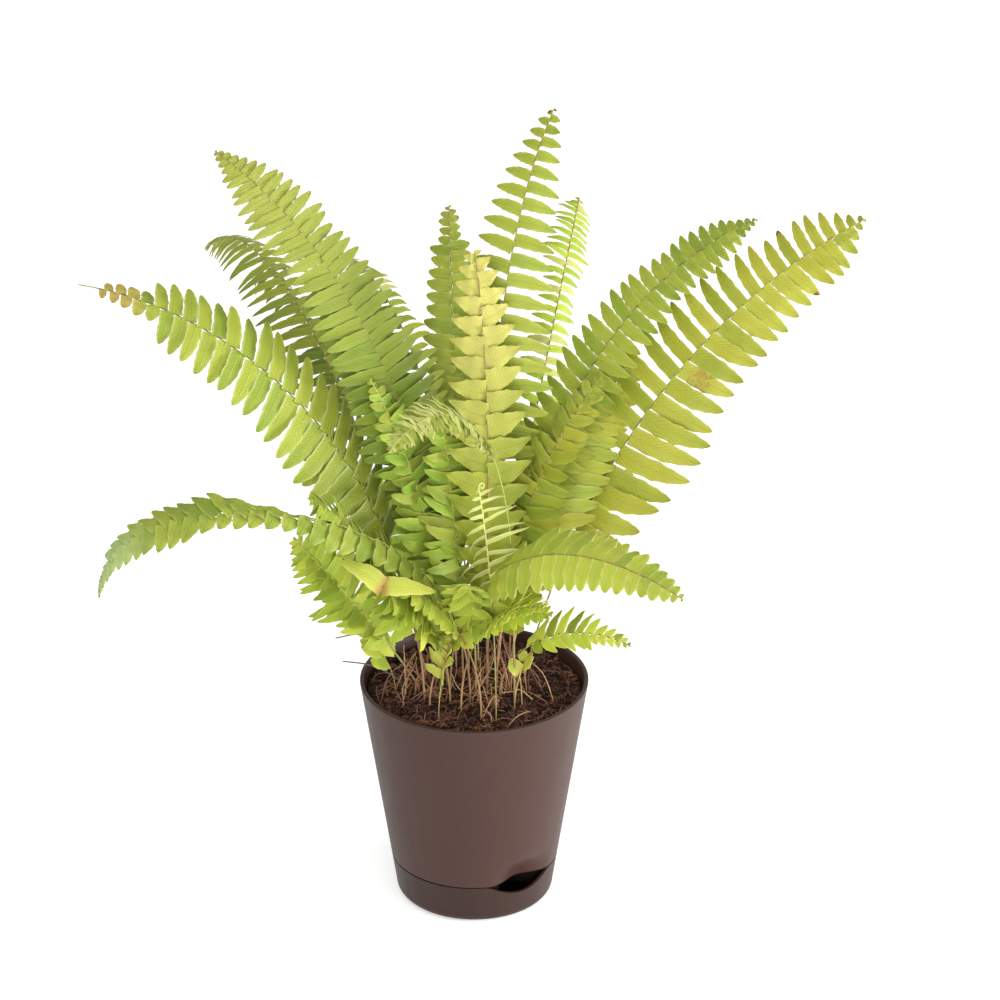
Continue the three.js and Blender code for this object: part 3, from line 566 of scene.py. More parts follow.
def strand_form(steps: int, sides: int, material: int = 0) -> Form:
    """Builds a closed rod from -0.5 to 0.5 along X, which is bent along a path.

    Args:
        steps: its faces along X.
        sides: its faces round X.
        material: the material number of its faces.

    Returns:
        The rod.
    """
    bm = bmesh.new()
    bmesh.ops.create_circle(bm, cap_ends=True, segments=sides, radius=0.5,
                            matrix=Matrix.Rotation(math.radians(90), 4, "Y"))
    bmesh.ops.translate(bm, verts=bm.verts[:], vec=(-0.5, 0, 0))
    rim = bm.edges[:]
    for _ in range(steps):
        made = bmesh.ops.extrude_edge_only(bm, edges=rim)["geom"]
        ring = [item for item in made if isinstance(item, bmesh.types.BMVert)]
        rim = [item for item in made if isinstance(item, bmesh.types.BMEdge)
               and all(vert in ring for vert in item.verts)]
        bmesh.ops.translate(bm, verts=ring, vec=(1 / steps, 0, 0))
    bmesh.ops.contextual_create(bm, geom=rim)
    return Form(bm, material, 80.0)


def crumb_form() -> Form:
    """Returns a rough ball of radius 0.5."""
    bm = bmesh.new()
    bmesh.ops.create_icosphere(bm, subdivisions=1, radius=0.5)
    return Form(bm, 0, 20.0)


def chip_form() -> Form:
    """Builds a block with cut corners, from -0.5 to 0.5 on all axes.

    Returns:
        The block.
    """
    bm = bmesh.new()
    bmesh.ops.create_cube(bm, size=1.0)
    bmesh.ops.bevel(bm, geom=bm.edges[:], offset=0.14, offset_type="OFFSET", affect="EDGES",
                    segments=1, profile=0.5, material=-1)
    return Form(bm, 0, 20.0)


class Path:
    """A smooth line through given points, with a frame that doesn't spin along it."""

    def __init__(self, points: Sequence[Vector], aside: Vector | None = None) -> None:
        """Keeps the line.

        Args:
            points: the points that it passes, evenly spaced.
            aside: a direction that its first frame leans to.
        """
        self.points = list(points)
        self.asides: list[Vector] = []
        side = aside or Vector((0.31, 0.77, 0.23))
        for i in range(len(self.points)):
            along = self.along(i)
            side = (side - along * side.dot(along)).normalized()
            self.asides.append(side)

    def along(self, index: int) -> Vector:
        """Returns the direction of the line at one of its points."""
        low, high = max(index - 1, 0), min(index + 1, len(self.points) - 1)
        return (self.points[high] - self.points[low]).normalized()

    def at(self, share: float) -> tuple[Vector, Vector, Vector]:
        """Finds a place on the line.

        Args:
            share: the share of the line's length.

        Returns:
            The point, its aside direction and its third direction.
        """
        step = min(1.0, max(0.0, share)) * (len(self.points) - 1)
        low = min(int(step), len(self.points) - 2)
        point = self.points[low].lerp(self.points[low + 1], step - low)
        side = self.asides[low].lerp(self.asides[low + 1], step - low).normalized()
        return point, side, self.along(low).cross(side).normalized()

    def rod(self, radius: Callable[[float], float]) -> Placer:
        """Bends a rod along this line.

        Args:
            radius: gives the radius at each share of the line.

        Returns:
            What takes a point of the rod to the line.
        """
        def place(co: Vector) -> Vector:
            """Takes a point of the rod to the line."""
            share = co.x + 0.5
            point, side, other = self.at(share)
            return point + (side * co.y + other * co.z) * 2 * radius(share)
        return place


def curve_points(corners: Sequence[Sequence[float]], steps: int) -> list[Vector]:
    """Returns points on a smooth curve through its corners.

    Args:
        corners: the points that the curve passes.
        steps: how many pieces it has.

    Returns:
        The points, one more than the pieces.
    """
    ends = [Vector(corner) for corner in corners]
    ends = [ends[0] * 2 - ends[1], *ends, ends[-1] * 2 - ends[-2]]
    made = []
    for i in range(steps + 1):
        where = i / steps * (len(ends) - 3)
        low = min(int(where), len(ends) - 4)
        t = where - low
        a, b, c, d = ends[low:low + 4]
        made.append(0.5 * (2 * b + (c - a) * t + (2 * a - 5 * b + 4 * c - d) * t ** 2
                           + (3 * b - a - 3 * c + d) * t ** 3))
    return made


def turned(profile: Sequence[tuple[float, float]], steps: int) -> bmesh.types.BMesh:
    """Turns a profile about Z into a closed body.

    Args:
        profile: points of radius and height, from the axis back to the axis.
        steps: how many times the profile is repeated round the axis.

    Returns:
        The body, with its faces outwards.
    """
    bm = bmesh.new()
    verts = [bm.verts.new((radius, 0, height)) for radius, height in profile]
    edges = [bm.edges.new(pair) for pair in zip(verts, verts[1:])]
    bmesh.ops.spin(bm, geom=[*verts, *edges], cent=(0, 0, 0), axis=(0, 0, 1), angle=math.tau,
                   steps=steps, use_merge=True)
    bmesh.ops.remove_doubles(bm, verts=bm.verts[:], dist=0.002)
    bmesh.ops.recalc_face_normals(bm, faces=bm.faces[:])
    return bm


def finished(name: str, bm: bmesh.types.BMesh, finishes: Sequence,
             stands_for: Sequence[str] = ()) -> bpy.types.Object:
    """Makes a piece of a mesh in millimetres.

    Args:
        name: the piece's name.
        bm: the mesh, which is used up.
        finishes: its finishes, in the order of its material numbers.
        stands_for: the solids that it is shown in place of.

    Returns:
        The piece, in metres and riding on the plant's one body.
    """
    bmesh.ops.scale(bm, vec=(MM, MM, MM), verts=bm.verts[:])
    mesh = bpy.data.meshes.new(name)
    bm.to_mesh(mesh)
    bm.free()
    for finish in finishes:
        mesh.materials.append(skin(finish))
    piece = bpy.data.objects.new(name, mesh)
    bpy.context.scene.collection.objects.link(piece)
    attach(piece, BODY)
    if stands_for:
        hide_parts(*stands_for)
    log.info("%s: %d faces", name, len(mesh.polygons))
    return piece


def crisp(bm: bmesh.types.BMesh, angle: float) -> None:
    """Makes faces smooth and keeps some edges crisp.

    Args:
        bm: the mesh.
        angle: the angle in degrees from which an edge stays crisp.
    """
    bm.normal_update()
    for face in bm.faces:
        face.smooth = True
    for edge in bm.edges:
        edge.smooth = edge.calc_face_angle(0) < math.radians(angle)


# The pot


@dataclass(frozen=True)
class PotShape:
    """The pot's sizes, which planter, tray and soil share."""

    height: float = 130
    rim_radius: float = 62.5
    seam_height: float = 24
    seam_radius: float = 46
    seam_gap: float = 0.5
    wall: float = 2.4
    tray_wall: float = 2
    base_round: float = 6
    neck_bottom: float = 14
    neck_gap: float = 0.7
    floor: float = 2
    foot_top: float = 14
    foot_bottom: float = 11
    foot_height: float = 2.6
    foot_wall: float = 1.8
    mouth_angle: float = -54
    mouth_half: float = 27
    mouth_dent: float = 7.4
    mouth_fade: float = 19
    mouth_scoop: float = 6.6
    mouth_recess: float = 8
    drain_ring: float = 20
    shoulder_rise: float = 2.5
    turns: int = 180

    def outer(self, height: float) -> float:
        """Returns the outer radius at a height."""
        slope = (self.rim_radius - self.seam_radius) / (self.height - self.seam_height)
        return self.seam_radius + (height - self.seam_height) * slope

    def neck(self, height: float) -> float:
        """Returns the outer radius of the neck that stands inside the tray."""
        return self.outer(height) - self.tray_wall - self.neck_gap

    def mouth(self, x: float, y: float) -> float:
        """Works out how much of the filling mouth's shape there is at a point.

        Args:
            x: the point's place to the right.
            y: the point's place to the back.

        Returns:
            The share, from 0 outside the mouth to 1 in its middle.
        """
        offset = abs((math.degrees(math.atan2(y, x)) - self.mouth_angle + 180) % 360 - 180)
        if offset >= self.mouth_half:
            return 0.0
        return math.cos(math.pi / 2 * offset / self.mouth_half) ** 2

    def dented(self, co: Vector) -> Vector:
        """Moves a wall's point inwards at the mouth.

        Args:
            co: the point.

        Returns:
            The point's new place.
        """
        radius = math.hypot(co.x, co.y)
        if radius < self.foot_top + 1:
            return co
        fade = 1 - smoothstep((co.z - self.seam_height) / self.mouth_fade)
        depth = self.mouth_dent * fade
        if co.z < self.seam_height + self.shoulder_rise + 0.1 and radius < self.neck(self.seam_height) + 0.1:
            depth += self.mouth_recess
        share = 1 - depth * self.mouth(co.x, co.y) / radius
        return Vector((co.x * share, co.y * share, co.z))


@dataclass
class Pot:
    """The upper planter and the water tray that it stands in."""

    shape: PotShape = field(default_factory=PotShape)
    rim_round: float = 0.7
    seam_round: float = 0.35
    drain_holes: int = 6
    drain_radius: float = 2.5
    drill_depth: float = 6
    slot_turns: tuple[float, ...] = (0, 90, 180, 270)
    slot_at: tuple[float, float, float] = (12, 0, 9)
    slot_size: tuple[float, float, float] = (8, 3, 6)
    scoop_from: float = 9

    def wall_heights(self) -> list[float]:
        """Returns the heights of the wall's rows, close together where the mouth fades out."""
        low = self.shape.seam_height
        return [low + 1.6 * i for i in range(1, 15)] + [52, 62, 74, 86, 98, 110, 120, 127]

    def planter(self) -> bpy.types.Object:
        """Builds the planter: wall, rim, neck, floor with drain holes and slotted foot.

        Returns:
            The piece, which stands for the solid planter.
        """
        s = self.shape
        top, low, rounding = s.height, s.seam_height, self.rim_round
        inner = s.outer(top) - s.wall
        floor_top = s.neck_bottom + s.floor
        heights = self.wall_heights()
        profile = [
            (0, s.foot_height), (s.foot_bottom, s.foot_height), (s.foot_top, s.neck_bottom),
            (s.neck(s.neck_bottom) - 0.5, s.neck_bottom), (s.neck(s.neck_bottom), s.neck_bottom + 0.5),
            (s.neck(low), low), (s.outer(low) - self.seam_round, low), (s.outer(low), low + self.seam_round),
            *[(s.outer(height), height) for height in heights],
            (s.outer(top - rounding), top - rounding), (s.outer(top) - 0.2 * rounding, top - 0.3 * rounding),
            (s.outer(top) - rounding, top), (inner + rounding, top), (inner + 0.2 * rounding, top - 0.3 * rounding),
            (s.outer(top - rounding) - s.wall, top - rounding),
            *[(s.outer(height) - s.wall, height) for height in reversed(heights)],
            (s.neck(low) - s.wall, low), (s.neck(floor_top) - s.wall, floor_top),
            (s.foot_top - s.foot_wall, floor_top),
            (s.foot_bottom - s.foot_wall, s.foot_height + s.foot_wall), (0, s.foot_height + s.foot_wall),
        ]
        bm = turned(profile, s.turns)
        # painted shade: the neck and floor that stand inside the tray are marked to go near black
        inside_shade = bm.verts.layers.float.new("inside_shade")
        for vert in bm.verts:
            vert[inside_shade] = vert.co.z < low + 0.1 and math.hypot(vert.co.x, vert.co.y) < s.neck(low) + 0.1
            vert.co = s.dented(vert.co)
        crisp(bm, 35)
        piece = finished("planter_body", bm, [PLASTIC], ["planter"])
        self.drill(piece)
        return piece

    def drill(self, piece: bpy.types.Object) -> None:
        """Cuts the drain holes and the foot's slots into the planter's mesh.

        Args:
            piece: the planter, which gets the cut mesh.
        """
        s = self.shape
        bm = bmesh.new()
        for i in range(self.drain_holes):
            turn = Matrix.Rotation(math.radians(360 / self.drain_holes * i), 4, "Z")
            spot = turn @ Matrix.Translation((s.drain_ring, 0, s.neck_bottom + s.floor / 2))
            bmesh.ops.create_cone(bm, cap_ends=True, segments=24, radius1=self.drain_radius,
                                  radius2=self.drain_radius, depth=self.drill_depth, matrix=spot)
        for turn in self.slot_turns:
            spot = Matrix.Rotation(math.radians(turn), 4, "Z") @ Matrix.Translation(self.slot_at)
            size = Matrix.Diagonal((*self.slot_size, 1))
            bmesh.ops.create_cube(bm, size=1.0, matrix=spot @ size)
        bmesh.ops.scale(bm, vec=(MM, MM, MM), verts=bm.verts[:])
        mesh = bpy.data.meshes.new("drill")
        bm.to_mesh(mesh)
        bm.free()
        drill = bpy.data.objects.new("drill", mesh)
        bpy.context.scene.collection.objects.link(drill)
        cut = piece.modifiers.new("cut", "BOOLEAN")
        cut.operation, cut.solver, cut.object = "DIFFERENCE", "EXACT", drill
        bpy.context.view_layer.update()
        solid = piece.evaluated_get(bpy.context.evaluated_depsgraph_get())
        done = bpy.data.meshes.new_from_object(solid)
        piece.modifiers.clear()
        old, piece.data = piece.data, done
        done.name = piece.name
        bpy.data.objects.remove(drill)
        bpy.data.meshes.remove(mesh)
        bpy.data.meshes.remove(old)

    def tray(self) -> bpy.types.Object:
        """Builds the water tray with its rounded foot and scooped edge.

        Returns:
            The piece, which stands for the solid reservoir.
        """
        s = self.shape
        top = s.seam_height - s.seam_gap
        flat = s.outer(s.base_round) - s.base_round
        arc = [math.radians(9 * i) for i in range(11)]
        rows = [8, 10, 12, 14, 16, 18, 20, 22]
        inside = s.base_round - s.tray_wall
        profile = [
            (0, 0),
            *[(flat + s.base_round * math.sin(a), s.base_round * (1 - math.cos(a))) for a in arc],
            *[(s.outer(row), row) for row in rows],
            (s.outer(top), top - self.seam_round), (s.outer(top) - self.seam_round, top),
            (s.outer(top) - s.tray_wall + self.seam_round, top),
            (s.outer(top) - s.tray_wall, top - self.seam_round),
            *[(s.outer(row) - s.tray_wall, row) for row in reversed(rows)],
            *[(flat + inside * math.sin(a), s.tray_wall + inside * (1 - math.cos(a))) for a in reversed(arc)],
            (0, s.tray_wall),
        ]
        bm = turned(profile, s.turns)
        # painted shade: the tray's inner wall and floor are marked to go near black
        inside_shade = bm.verts.layers.float.new("inside_shade")
        for vert in bm.verts:
            radius = math.hypot(vert.co.x, vert.co.y)
            vert[inside_shade] = vert.co.z > s.tray_wall - 0.1 and radius < s.outer(vert.co.z) - s.tray_wall + 0.1
            if radius < flat or vert.co.z <= self.scoop_from:
                continue
            share = (vert.co.z - self.scoop_from) / (top - self.scoop_from)
            drop = s.mouth_scoop * math.sqrt(s.mouth(vert.co.x, vert.co.y)) * share
            narrow = 1 - (s.outer(top) - s.outer(top - drop)) / radius
            vert.co = Vector((vert.co.x * narrow, vert.co.y * narrow, vert.co.z - drop))
        crisp(bm, 35)
        return finished("water_tray", bm, [SHADED_TRAY_PLASTIC], ["reservoir"])

    def build(self) -> None:
        """Builds both parts."""
        self.planter()
        self.tray()


# The soil

FIBRE_STEPS = 7


@dataclass
class Soil:
    """The potting mix: a lumpy body with crumbs, bark chips and fibres on it."""

    pot: PotShape = field(default_factory=PotShape)
    edge_height: float = 123.4
    mound: float = 3.2
    gap: float = 0.4
    side_gap: float = 0.9
    crumbs: int = 1100
    chips: int = 420
    fibres: int = 760
    crumb_sizes: tuple[float, float] = (1.0, 3.0)
    chip_sizes: tuple[float, float] = (1.6, 5.4)
    fibre_lengths: tuple[float, float] = (2, 9)
    rings: int = 42
    turns: int = 150
    seed: int = 11

    def height(self, x: float, y: float) -> float:
        """Works out how high the soil stands at a point: a low mound with shallow lumps.

        Args:
            x: the point's place to the right.
            y: the point's place to the back.

        Returns:
            The height.
        """
        rise = self.mound * (1 - (math.hypot(x, y) / self.pot.rim_radius) ** 2)
        lumps = 0.6 * math.sin(x * 0.19 + 1) * math.cos(y * 0.23) + 0.4 * math.sin(x * 0.11 - y * 0.31)
        return self.edge_height + rise + lumps

    def crumbly(self, x: float, y: float) -> float:
        """Returns the soil's height with its small clods."""
        clods = noise.noise(Vector((x * 0.22, y * 0.22, 3))) * 1.1 + noise.noise(Vector((x * 0.7, y * 0.7, 7))) * 0.7
        return self.height(x, y) + clods - 0.25

    def reach(self) -> float:
        """Returns the radius of the soil's surface."""
        return self.pot.outer(self.edge_height) - self.pot.wall - self.side_gap

    def body(self) -> bpy.types.Object:
        """Builds the body of soil, from its column in the foot to its surface.

        Returns:
            The piece, which stands for the solid potting_soil.
        """
        s = self.pot
        floor_top = s.neck_bottom + s.floor + self.gap
        low = s.foot_height + s.foot_wall + self.gap

        def inside(radius: float) -> float:
            """Returns a wall's radius less the wall and the gap."""
            return radius - s.wall - self.side_gap

        profile = [
            (0, low), (s.foot_bottom - s.foot_wall - self.gap, low),
            (s.foot_top - s.foot_wall - self.gap, floor_top), (inside(s.neck(floor_top)), floor_top),
            (inside(s.neck(s.seam_height)), s.seam_height + s.shoulder_rise),
            *[(inside(s.outer(height)), height) for height in (30, 33, 36, 40, 44, 60, 80, 100, 115)],
            *[(self.reach() * (1 - i / self.rings), self.edge_height) for i in range(self.rings + 1)],
        ]
        bm = turned(profile, self.turns)
        tone = bm.verts.layers.float.new("tone")
        for vert in bm.verts:
            if vert.co.z > self.edge_height - 0.1:
                vert.co.z = self.crumbly(vert.co.x, vert.co.y)
                vert[tone] = 0.5 + 0.5 * noise.noise(vert.co * 0.35)
            else:
                vert.co = s.dented(vert.co)
        crisp(bm, 70)
        return finished("potting_mix", bm, [SOIL], ["potting_soil"])

    def spot(self, rng: random.Random, spare: float) -> tuple[float, float]:
        """Draws a random place on the soil.

        Args:
            rng: the litter's random numbers.
            spare: how far it stays from the wall.

        Returns:
            The place.
        """
        radius = (self.reach() - spare) * math.sqrt(rng.random())
        angle = rng.uniform(0, math.tau)
        return radius * math.cos(angle), radius * math.sin(angle)

    def litter(self) -> None:
        """Scatters crumbs, chips and fibres over the soil."""
        rng = random.Random(self.seed)
        bm = bmesh.new()
        crumb, chip = crumb_form(), chip_form()
        for form, count, sizes in ((crumb, self.crumbs, self.crumb_sizes), (chip, self.chips, self.chip_sizes)):
            for _ in range(count):
                size = lerp(*sizes, rng.random() ** 2)
                x, y = self.spot(rng, 0.7 * size + 0.4)
                flat = (size, size * rng.uniform(0.35, 0.8), size * rng.uniform(0.3, 0.6))
                turn = Matrix.Rotation(rng.uniform(0, math.tau), 3, "Z") @ Matrix.Rotation(
                    rng.uniform(-0.6, 0.6), 3, "X") @ Matrix.Rotation(rng.uniform(-0.5, 0.5), 3, "Y")
                centre = Vector((x, y, self.crumbly(x, y) + 0.2 * flat[2]))
                shape = turn @ Matrix.Diagonal(flat)
                form.stamp(bm, lambda co, m=shape, c=centre: c + m @ co, tone=rng.random() ** 1.6)
        finished("soil_crumbs", bm, [SOIL])
        bm = bmesh.new()
        strand = strand_form(FIBRE_STEPS, 4)
        for _ in range(self.fibres):
            strand.stamp(bm, self.fibre(rng), tone=rng.random() ** 1.4)
        finished("soil_fibres", bm, [FIBRE])

    def fibre(self, rng: random.Random) -> Placer:
        """Lays one curved fibre on the soil.

        Args:
            rng: the litter's random numbers.

        Returns:
            What takes a point of a rod to the fibre.
        """
        length = rng.uniform(*self.fibre_lengths)
        x, y = self.spot(rng, 2)
        angle, bend = rng.uniform(0, math.tau), rng.uniform(-0.9, 0.9)
        hump = rng.uniform(0.3, 1.6)
        points = []
        edge = self.reach() - 1.2
        for i in range(FIBRE_STEPS + 1):
            share = i / FIBRE_STEPS
            out = math.hypot(x, y)
            if out > edge:
                x, y = x * edge / out, y * edge / out
            z = self.crumbly(x, y) + hump * math.sin(math.pi * share) + 0.1
            points.append(Vector((x, y, z)))
            x += math.cos(angle) * length / FIBRE_STEPS
            y += math.sin(angle) * length / FIBRE_STEPS
            angle += bend / FIBRE_STEPS
        thick = rng.uniform(0.14, 0.36)
        return Path(points).rod(lambda share: thick * (1 - 0.5 * abs(share - 0.5)))

    def build(self) -> None:
        """Builds the soil and what lies on it."""
        self.body()
        self.litter()


# The fronds


@dataclass(frozen=True)
class Stand:
    """Where a frond leaves the soil and how its rachis arches.

    Attributes:
        root: its place on the soil.
        heading: the way that it leans, seen from above, in degrees from +X towards +Y.
        rise: how steep it starts, in degrees.
        tip: how steep it ends, in degrees.
        bend: how late it bends over; 1 is an even arch.
        swerve: how many degrees its heading turns on the way.
        droop: how many degrees its last part bends up, or down below 0.
    """

    root: tuple[float, float]
    heading: float
    rise: float
    tip: float
    bend: float
    swerve: float = 0.0
    droop: float = 0.0


@dataclass(frozen=True)
class Blade:
    """How a frond's leaflets stand along its rachis.

    Attributes:
        length: the rachis's length.
        bare: the share of it that has no leaflets, at the foot.
        half: the longest leaflet's length.
        pairs: how many pairs its solid has.
        sweep: how many degrees the leaflets lean to the tip.
        roll: how many degrees the frond turns about its rachis.
        lift: how many degrees the leaflets rise out of the frond's plane.
        blunt: the power of the frond's outline, which is blunter the lower it is.
        lean: how many degrees more the leaflets of side 1 and of side -1 lean to the tip.
    """

    length: float
    bare: float
    half: float
    pairs: int
    sweep: float
    roll: float = 0.0
    lift: float = 0.0
    blunt: float = 0.62
    lean: tuple[float, float] = (0.0, 0.0)


@dataclass(frozen=True)
class Stretch:
    """A stretch of a frond whose leaflets differ from its others.

    Attributes:
        low: the share of the rachis where it starts.
        high: the share of the rachis where it ends.
        side: 1 or -1 for the leaflets of one side only.
        length: the factor on their length.
        lift: how many degrees more they rise.
        swept: how many degrees more they lean to the tip.
        fade: over what share of the rachis the change comes and goes.
    """

    low: float
    high: float
    side: int = 0
    length: float = 1.0
    lift: float = 0.0
    swept: float = 0.0
    fade: float = 0.06

    def part(self, share: float, side: int) -> float:
        """Works out how much of the change a leaflet takes.

        Args:
            share: where on the rachis the leaflet grows.
            side: 1 or -1, on which side of it.

        Returns:
            The part, from 0 to 1.
        """
        if self.side and side != self.side:
            return 0.0
        start = smoothstep((share - self.low) / self.fade + 0.5)
        return start * smoothstep((self.high - share) / self.fade + 0.5)


@dataclass(frozen=True)
class Look:
    """The finer shape and finish of a frond's leaflets.

    Attributes:
        tone: their finish.
        stem: the rachis's finish.
        pointed: how pointed they are, from 0 to 1.
        fill: their width as a share of the room between two pairs.
        falcate: how far they curve to the tip, as a share of their length.
        more: the factor on the solid's number of pairs.
        twist: how many degrees they turn about their own length.
        arch: how far their ends hang, as a share of their length.
        ruffle: how far their edges wave, as a share of their width.
        bare_tip: the share of the leafy part that ends without leaflets.
        gap_odds: the odds that a leaflet is missing.
        thick_stem: the factor on the rachis's thickness.
        long: the factor on their length.
        small_from: the share of the leafy part from which they are small; above 1 none are.
        small_share: the factor on the length of the small ones.
        upper: how far their ends lean to the upper edge, as a share of half their width.
        ear: the size of the ear at their base, as a share of half their width.
        layers: how many layers of them lie over each other.
        other: the finish of some of them.
        other_odds: the odds that a leaflet has that finish.
        curl: the first radius of the rolled-up tip, or 0 for an open one.
        wild: the spread of their lean, rise and twist, in degrees.
        sunk: how far behind the rachis they join it, where 1 is 0.4 mm.
        layer_to: the share of the rachis at which the further layers end.
        sides: the factors on the width of the leaflets of side 1 and of side -1.
        stretches: the stretches where they differ.
    """

    tone: LeafTone = LeafTone.LIME
    stem: StemTone = StemTone.DARK
    pointed: float = 0.5
    fill: float = 0.96
    falcate: float = 0.1
    more: float = 1.25
    twist: float = 9.0
    arch: float = 0.1
    ruffle: float = 0.05
    bare_tip: float = 0.0
    gap_odds: float = 0.0
    thick_stem: float = 1.0
    long: float = 1.0
    small_from: float = 2.0
    small_share: float = 0.55
    upper: float = 0.15
    ear: float = 0.12
    layers: int = 1
    other: LeafTone | None = None
    other_odds: float = 0.0
    curl: float = 0.0
    wild: float = 0.0
    sunk: float = 0.0
    layer_to: float = 2.0
    sides: tuple[float, float] = (1.0, 1.0)
    stretches: tuple[Stretch, ...] = ()


@dataclass(frozen=True)
class OddLeaf:
    """One leaf apart from a frond's pairs, in its own finish, on a stalk of its own.

    Attributes:
        share: the share of the rachis where its stalk starts.
        offset: the way from there to the leaf's base.
        towards: the direction that the leaf points in.
        facing: the direction that its upper face looks in.
        length: its length.
        width: its width.
        arch: how far its end hangs, as a share of its length.
    """

    share: float
    offset: tuple[float, float, float]
    towards: tuple[float, float, float]
    facing: tuple[float, float, float]
    length: float
    width: float
    arch: float = 0.2


@dataclass
class Frond:
    """A rachis with its leaflets, shown in place of one solid."""

    name: str
    stand: Stand
    blade: Blade
    look: Look
    seed: int = 0
    start_height: float = 128
    petiole_bottom: float = 114
    curve_steps: int = 80
    droop_power: float = 8
    tip_crowding: float = 1.25
    blade_thickness: float = 0.36
    least_width: float = 0.07
    tooth: float = 0.05
    spot_length: float = 0.17
    stagger: float = 0.22
    layer_stagger: float = 0.37
    layer_lengths: tuple[float, float] = (0.55, 0.95)
    layer_lifts: tuple[float, float] = (12, 38)
    lift_play: float = 5
    turn_play: float = 4
    twist_play: float = 5
    stem_radii: tuple[float, float] = (0.56, 0.36)
    crozier_step: float = 32
    blemishes: dict[tuple[int, int], tuple[float, float]] = field(default_factory=dict)
    odd_leaves: tuple[OddLeaf, ...] = ()

    def __post_init__(self) -> None:
        """Works out the rachis's points and axes."""
        s = self.stand
        self.points = [Vector((*s.root, self.start_height))]
        self.frames: list[tuple[Vector, Vector, Vector]] = []
        for i in range(self.curve_steps):
            share = (i + 0.5) / self.curve_steps
            climb = math.radians(lerp(s.rise, s.tip, share ** s.bend) + s.droop * share ** self.droop_power)
            turn = math.radians(s.heading + s.swerve * share)
            along = Vector((math.cos(climb) * math.cos(turn), math.cos(climb) * math.sin(turn), math.sin(climb)))
            level = Vector((math.sin(turn), -math.cos(turn), 0))
            tilt = Matrix.Rotation(-math.radians(self.blade.roll), 3, along)
            self.frames.append((along, tilt @ level, tilt @ level.cross(along)))
            self.points.append(self.points[-1] + along * self.blade.length / self.curve_steps)

    def at(self, share: float) -> tuple[Vector, Vector, Vector, Vector]:
        """Finds a place on the rachis.

        Args:
            share: the share of its length.

        Returns:
            The point and its along, across and face directions.
        """
        step = min(1.0, max(0.0, share)) * self.curve_steps
        low = min(int(step), self.curve_steps - 1)
        return self.points[low].lerp(self.points[low + 1], step - low), *self.frames[low]

    def leaflet_share(self, x: float) -> float:
        """Works out a leaflet's length as a share of the longest one.

        Args:
            x: its place, from 0 at the lowest pair to 1 at the tip.

        Returns:
            The share.
        """
        grow = 0.55 + 0.45 * min(1, x / 0.22)
        return grow * math.sin(math.pi / 2 * max(0.0, 1 - x) ** self.blade.blunt)

    def taper(self, out: float) -> float:
        """Works out how wide a leaflet still is.

        Args:
            out: the share of its length.

        Returns:
            The share of its widest place, from 1 down to 0 at its end.
        """
        start = lerp(0.6, 0.18, self.look.pointed)
        left = min(1.0, max(0.0, (1 - out) / (1 - start)))
        return left ** lerp(0.45, 0.85, self.look.pointed)

    def width_at(self, out: float, side: float) -> float:
        """Returns a leaflet's half width as a share of its widest one.

        Args:
            out: the share of the leaflet's length.
            side: above 0 on the edge that faces the frond's tip.

        Returns:
            The share, with the ear at the base and the taper to the tip.
        """
        ear = self.look.ear * math.exp(-((out - 0.1) / 0.09) ** 2) * (1 if side > 0 else -0.2)
        return max(self.least_width, (1 + ear) * self.taper(out))

    def leaflet(self, base: Vector, frame_: tuple[Vector, Vector, Vector], side: int, length: float,
                width: float, raised: float, swept: float, rng: random.Random) -> Placer:
        """Works out the place of one leaflet.

        Args:
            base: the point where it joins the rachis.
            frame_: the along, across and face directions there.
            side: 1 or -1, on which side of the rachis it grows.
            length: its length.
            width: its full width.
            raised: how many degrees it rises more than the frond's others.
            swept: how many degrees it leans further to the tip than the others.
            rng: the frond's own random numbers.

        Returns:
            What takes a point of the slab to the leaflet.
        """
        along, across, face = frame_
        look = self.look
        across = across * side
        play = rng.uniform(-self.lift_play, self.lift_play)
        lift = math.radians(self.blade.lift + raised + play + rng.gauss(0, look.wild))
        turn = rng.uniform(-self.turn_play, self.turn_play) + rng.gauss(0, look.wild)
        sweep = math.radians(self.blade.sweep + self.blade.lean[side < 0] + swept + turn)
        outward = across * math.cos(lift) + face * math.sin(lift)
        axis = outward * math.cos(sweep) + along * math.sin(sweep)
        wide = along * math.cos(sweep) - outward * math.sin(sweep)
        normal = face * math.cos(lift) - across * math.sin(lift)
        play = rng.uniform(-self.twist_play, self.twist_play)
        twist = math.radians(look.twist + play + rng.gauss(0, look.wild))
        wide, normal = (wide * math.cos(twist) + normal * math.sin(twist),
                        normal * math.cos(twist) - wide * math.sin(twist))
        drop = look.arch * rng.uniform(0.6, 1.5)
        return self.bent(base, (axis, wide, normal), length * rng.uniform(0.95, 1.03), width, drop, rng)

    def bent(self, base: Vector, axes: tuple[Vector, Vector, Vector], length: float, width: float,
             drop: float, rng: random.Random) -> Placer:
        """Bends the slab into a leaflet.

        Args:
            base: the point where it joins the rachis.
            axes: its long, wide and upward directions.
            length: its length.
            width: its full width.
            drop: how far its end hangs, as a share of its length.
            rng: the frond's own random numbers.

        Returns:
            What takes a point of the slab to the leaflet.
        """
        axis, wide, normal = axes
        look = self.look
        phase = rng.uniform(0, math.tau)
        thick = self.blade_thickness

